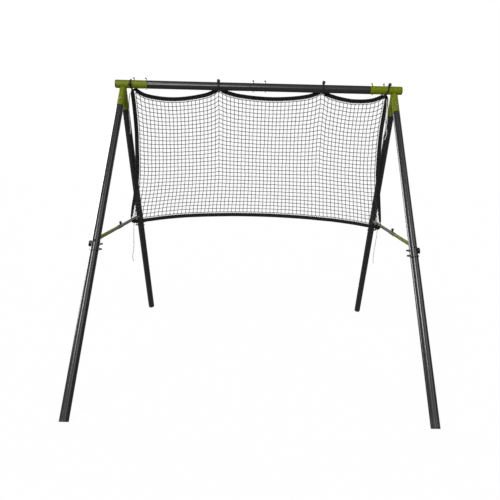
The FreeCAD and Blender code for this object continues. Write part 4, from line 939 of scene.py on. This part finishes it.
# %% [markdown]
# In front the two strands lie side by side. On the two upright loops they spread a little over the
# top and behind. Each strand ends inside its ball, and the small bight round the neck isn't drawn.

# %% Elastic loops
TOP_SPREAD = 0.0052
SUNK = 0.0015


def loop_strand(put, side, line, widest):
    """One strand of a loop, with the spread growing and shrinking along its way."""
    points = []
    for i, place in enumerate(line):
        share = i / (len(line) - 1)
        spread = FRONT_SPREAD + (widest - FRONT_SPREAD) * math.sin(math.pi * share) ** 0.5
        points.append(put @ Vector((side * spread, place.x, place.y)))
    return points


def trimmed(line, ball):
    """The part of a loop's line that is outside its ball."""
    centre = Vector(ball[:2])
    reach = BALL_RADIUS - SUNK
    kept = [place for place in line[1:-1] if (place - centre).length > reach]
    first = centre + (line[1] - centre).normalized() * reach
    last = centre + (line[-2] - centre).normalized() * reach
    return [first, *kept, last]


ELASTIC_SECTION = round_section(ELASTIC_RADIUS, 10)
for number, (x, level, turn, slant) in enumerate(LOOPS, start=1):
    ball, wheels = wheels_of(level, turn, slant)
    line = trimmed(belt(wheels), ball)
    put = loop_place(x, level, slant)
    widest = FRONT_SPREAD if slant else TOP_SPREAD

    def strands(mesh, uv_layer):
        for side in (-1, 1):
            strand = loop_strand(put, side, line, widest)
            add_sweep(mesh, uv_layer, strand, Vector((1, 0, 0)), ELASTIC_SECTION)

    replaced = ("bungee_cord_%d" % number,)
    new_piece("bungee_loop_%d" % number, strands, ELASTIC, replaced)

# %% [markdown]
# A ball of such a loop is a moulded sphere with a short collar round the hole that the cord comes
# out of. A sphere with the hole pressed in by inset and extrude gives the collar, and smooth
# shading up to a certain angle keeps its lip sharp.

# %% Balls
COLLAR_FROM = 0.86
COLLAR_WIDTH, COLLAR_HEIGHT = 0.0006, 0.0010
LIP_WIDTH = 0.0012
HOLE_DEPTH = 0.0030


def ball_piece(number, place, out):
    deselect_all()
    bpy.ops.mesh.primitive_uv_sphere_add(segments=32, ring_count=20, radius=BALL_RADIUS)
    piece = bpy.context.object
    piece.name = "bungee_ball_moulded_%d" % number
    bpy.ops.object.mode_set(mode="EDIT")
    bpy.ops.mesh.select_mode(type="FACE")
    bpy.ops.mesh.select_all(action="DESELECT")
    mesh = bmesh.from_edit_mesh(piece.data)
    for face in mesh.faces:
        face.select_set(face.calc_center_median().z > BALL_RADIUS * COLLAR_FROM)
    bmesh.update_edit_mesh(piece.data)
    bpy.ops.mesh.inset(thickness=COLLAR_WIDTH, depth=COLLAR_HEIGHT)
    bpy.ops.mesh.inset(thickness=LIP_WIDTH)
    bpy.ops.mesh.extrude_region_move(TRANSFORM_OT_translate={"value": (0, 0, -HOLE_DEPTH)})
    bpy.ops.object.mode_set(mode="OBJECT")
    bpy.ops.object.shade_smooth_by_angle(angle=math.radians(50))
    turn = Vector((0, 0, 1)).rotation_difference(out).to_matrix().to_4x4()
    piece.data.transform(Matrix.Translation(place) @ turn)
    piece.data.materials.append(BLACK_PLASTIC)
    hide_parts("bungee_ball_%d" % number)
    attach(piece, "frame")


for number, (x, level, turn, slant) in enumerate(LOOPS, start=1):
    ball, wheels = wheels_of(level, turn, slant)
    line = belt(wheels)
    put = loop_place(x, level, slant)
    centre = Vector((0, ball[0], ball[1]))
    first = Vector((0, line[1].x, line[1].y)) - centre
    last = Vector((0, line[-2].x, line[-2].y)) - centre
    out = put.to_3x3() @ (first.normalized() + last.normalized() * 0.5).normalized()
    ball_piece(number, put @ centre, out)
print("balls made")

# %% [markdown]
# At each lower corner the hem itself carries the net: the side band runs on past the brace, folds
# under it and comes up to the end of the lower band, so a pointed fold of webbing hangs there. It
# is swept like the bands, and its width changes along the way. Each station gives, in millimetres,
# its place outward of the brace, its place above it and the width of the fold.

# %% Corner straps
LEG_PLANE = 0.990
STRAPS = {
    "left": (-1, ((12, 22.7, 15), (14, 15, 9), (16.0, 7, 6), (16.6, 0, 5.4), (16.2, -8, 6.5),
                  (12.6, -16, 10), (6, -21, 18), (-4, -24.2, 22), (-12, -20.5, 28), (-20, -13.4, 27),
                  (-27, -12.5, 26), (-34.6, -15, 30))),
    "right": (1, ((9, 22.7, 14), (12, 15, 8), (15.4, 7, 6), (16.4, 0, 5.4), (16.6, -9, 7),
                  (14, -19, 12), (6, -27, 27), (-4, -30, 34), (-12, -25.5, 38), (-20, -17.5, 34),
                  (-27, -14.5, 29), (-34.6, -15, 30))),
}


def rounded_line(places, steps=6):
    """A smooth line through a few points, each with any number of values."""
    count = len(places)
    points = []
    for i in range(count - 1):
        p0 = Vector(places[max(i - 1, 0)])
        p1 = Vector(places[i])
        p2 = Vector(places[i + 1])
        p3 = Vector(places[min(i + 2, count - 1)])
        for k in range(steps):
            t = k / steps
            points.append(0.5 * (2 * p1 + (p2 - p0) * t + (2 * p0 - 5 * p1 + 4 * p2 - p3) * t ** 2
                                 + (3 * p1 - p0 - 3 * p2 + p3) * t ** 3))
    points.append(Vector(places[-1]))
    return points


def strap(side, stations):
    def build(mesh, uv_layer):
        points = []
        sizes = []
        for u, v, width in rounded_line(stations):
            points.append(in_net(side * (LEG_PLANE + u / 1000), BRACE_LEVEL + v / 1000))
            sizes.append((width / 1000 / HEM_WIDTH, 1))
        add_sweep(mesh, uv_layer, points, NET_FRONT, band_section(), sizes)
    return build


for name, (side, stations) in STRAPS.items():
    replaced = ("corner_strap_" + name,)
    new_piece("corner_strap_webbing_" + name, strap(side, stations), WEBBING, replaced)

# %% [markdown]
# The sockets are welded to the sleeves, and a weld shows as a rippled bead along the seam. The
# seam is where two tubes meet, so its points come from the tubes' radii: each point of the socket's
# wall is followed along the leg until it lies on the sleeve. A last bead joins the two sockets.

# %% Weld beads
APEX_DROP = 0.035
SOCKET_RADIUS = 0.0255
BEAD_RADIUS = 0.0022
BEAD_RIPPLE = 0.16
SEAM_STEPS = 72
CROTCH_STEPS = 40


def seam_points(end):
    """The seam between the sleeve and one socket, about the sleeve's own middle."""
    down = Vector((0, end * math.sin(LEG_LEAN), -math.cos(LEG_LEAN)))
    outward = Vector((0, end * math.cos(LEG_LEAN), math.sin(LEG_LEAN)))
    points = []
    for k in range(SEAM_STEPS):
        angle = math.tau * k / SEAM_STEPS
        wall = Vector((math.cos(angle), 0, 0)) * SOCKET_RADIUS
        wall += outward * (math.sin(angle) * SOCKET_RADIUS)
        start = Vector((0, 0, -APEX_DROP)) + wall
        b = start.y * down.y + start.z * down.z
        c = start.y ** 2 + start.z ** 2 - BAR_RADIUS ** 2
        root = b * b - c
        if root < 0:
            continue
        place = start + down * (-b + math.sqrt(root))
        if place.y * end > 0:
            points.append(place)
    return points


def weld(side):
    def build(mesh, uv_layer):
        centre = Vector((side * LEG_PLANE, 0, BAR_HEIGHT))
        for end in (-1, 1):
            seam = seam_points(end)
            gaps = [(seam[i] - seam[i - 1]).length for i in range(len(seam))]
            widest = gaps.index(max(gaps))
            seam = seam[widest:] + seam[:widest]
            points = []
            for a, b in zip(seam, seam[1:]):
                points += [centre + a, centre + a.lerp(b, 0.5)]
            points.append(centre + seam[-1])
            swell = [1 + BEAD_RIPPLE * math.sin(i * 1.9) for i in range(len(points))]
            sizes = [(size, size) for size in swell]
            add_sweep(mesh, uv_layer, points, Vector((0, 0, 1)), round_section(BEAD_RADIUS, 8), sizes)
        crotch = []
        for k in range(CROTCH_STEPS + 1):
            angle = math.pi * (0.09 + 0.82 * k / CROTCH_STEPS)
            drop = APEX_DROP + SOCKET_RADIUS / math.sin(LEG_LEAN) * math.sin(angle)
            crotch.append(centre + Vector((SOCKET_RADIUS * math.cos(angle), 0, -drop)))
        add_sweep(mesh, uv_layer, crotch, Vector((0, 1, 0)), round_section(BEAD_RADIUS, 8))
    return build


new_piece("weld_beads_left", weld(-1), GREEN)
new_piece("weld_beads_right", weld(1), GREEN)

# %% [markdown]
# The stage is a wide pale floor under a white world, as in a product picture. The camera sees both
# white. What lights the object is the world's own soft boxes, patches of light that fade out all
# round, because glossy tubes show their lamps: one in front draws the long stripe along the bar, two
# higher ones draw those on the legs, and one low behind the left side edges them. Two wide and weak
# ones, before and behind, fill in. A lamp object could do each of these too, but patches of the
# world never cut a stripe off short.

# %% Floor
PAPER_DARK, PAPER_LIGHT = grey(0.50), grey(0.52)
PAPER_GLOW = 1.04
MIRRORED_GLOW = 0.17
WHITE_SHARE = 0.93

deselect_all()
bpy.ops.mesh.primitive_plane_add(size=60, location=(0, 0, 0))
floor = bpy.context.object
floor.name = "studio_floor"
paper = new_finish("studio_paper")
is_camera = paper.node("ShaderNodeLightPath", output=0)
is_glossy = paper.node("ShaderNodeLightPath", output=3)
spots = paper.noise(paper.place(), 40, detail=2.0)
sheet = paper.mixed(spots, PAPER_DARK, PAPER_LIGHT)
matt = paper.node("ShaderNodeBsdfDiffuse", sockets={"Color": sheet})
glow = paper.node("ShaderNodeEmission", sockets={"Color": grey(1.0), "Strength": PAPER_GLOW})
dim = paper.node("ShaderNodeEmission", sockets={"Color": grey(1.0), "Strength": MIRRORED_GLOW})
unseen = paper.node("ShaderNodeMixShader", sockets={0: is_glossy, 1: matt, 2: dim})
shown = paper.node("ShaderNodeMixShader", sockets={0: is_camera * WHITE_SHARE, 1: unseen, 2: glow})
paper.node("ShaderNodeOutputMaterial", sockets={"Surface": shown})
floor.data.materials.append(paper.owner)
print("floor made")

# %% [markdown]
# Each soft box is given by its direction, its size and its strength. The direction is the angle from
# straight in front, positive towards the right side of the object, and the angle above the ground.
# The patch is full within its inner angle and fades to nothing at its outer one.

# %% Soft boxes of the world
BOXES = (
    (-13, 9, 5, 18, 7.5),
    (-27, 42, 3, 11, 16.0),
    (46, 38, 8, 22, 1.8),
    (-124, 3, 8, 24, 13.0),
    (-15, 15, 20, 75, 0.45),
    (168, 8, 15, 55, 0.85),
)
WORLD_BASE = 0.09
SIDE_GLOW = 0.04
SIDE_GLOW_FADE = (0.5, 0.9)
world = bpy.data.worlds.new("studio_air")
bpy.context.scene.world = world
air = Finish(world)
direction = air.node("ShaderNodeTexCoord", output=0)
level = (1 - air.axes(direction)[2].between(*SIDE_GLOW_FADE)) * SIDE_GLOW + WORLD_BASE
for azimuth, height, inner, outer, strength in BOXES:
    flat = math.cos(math.radians(height))
    middle = (math.sin(math.radians(azimuth)) * flat, -math.cos(math.radians(azimuth)) * flat,
              math.sin(math.radians(height)))
    facing = air.node("ShaderNodeVectorMath", {"operation": "DOT_PRODUCT"},
                      {0: direction, 1: middle}, output=1)
    edge = facing.between(math.cos(math.radians(outer)), math.cos(math.radians(inner)))
    level = level + edge * strength
seen = air.node("ShaderNodeLightPath", output=0)
lamp_light = air.node("ShaderNodeBackground", sockets={"Color": grey(1.0), "Strength": level})
white = air.node("ShaderNodeBackground", sockets={"Color": grey(1.0), "Strength": 1.0})
both = air.node("ShaderNodeMixShader", sockets={0: seen, 1: lamp_light, 2: white})
air.node("ShaderNodeOutputWorld", sockets={"Surface": both})
print("soft boxes:", len(BOXES))

bpy.context.scene.view_settings.view_transform = "Standard"
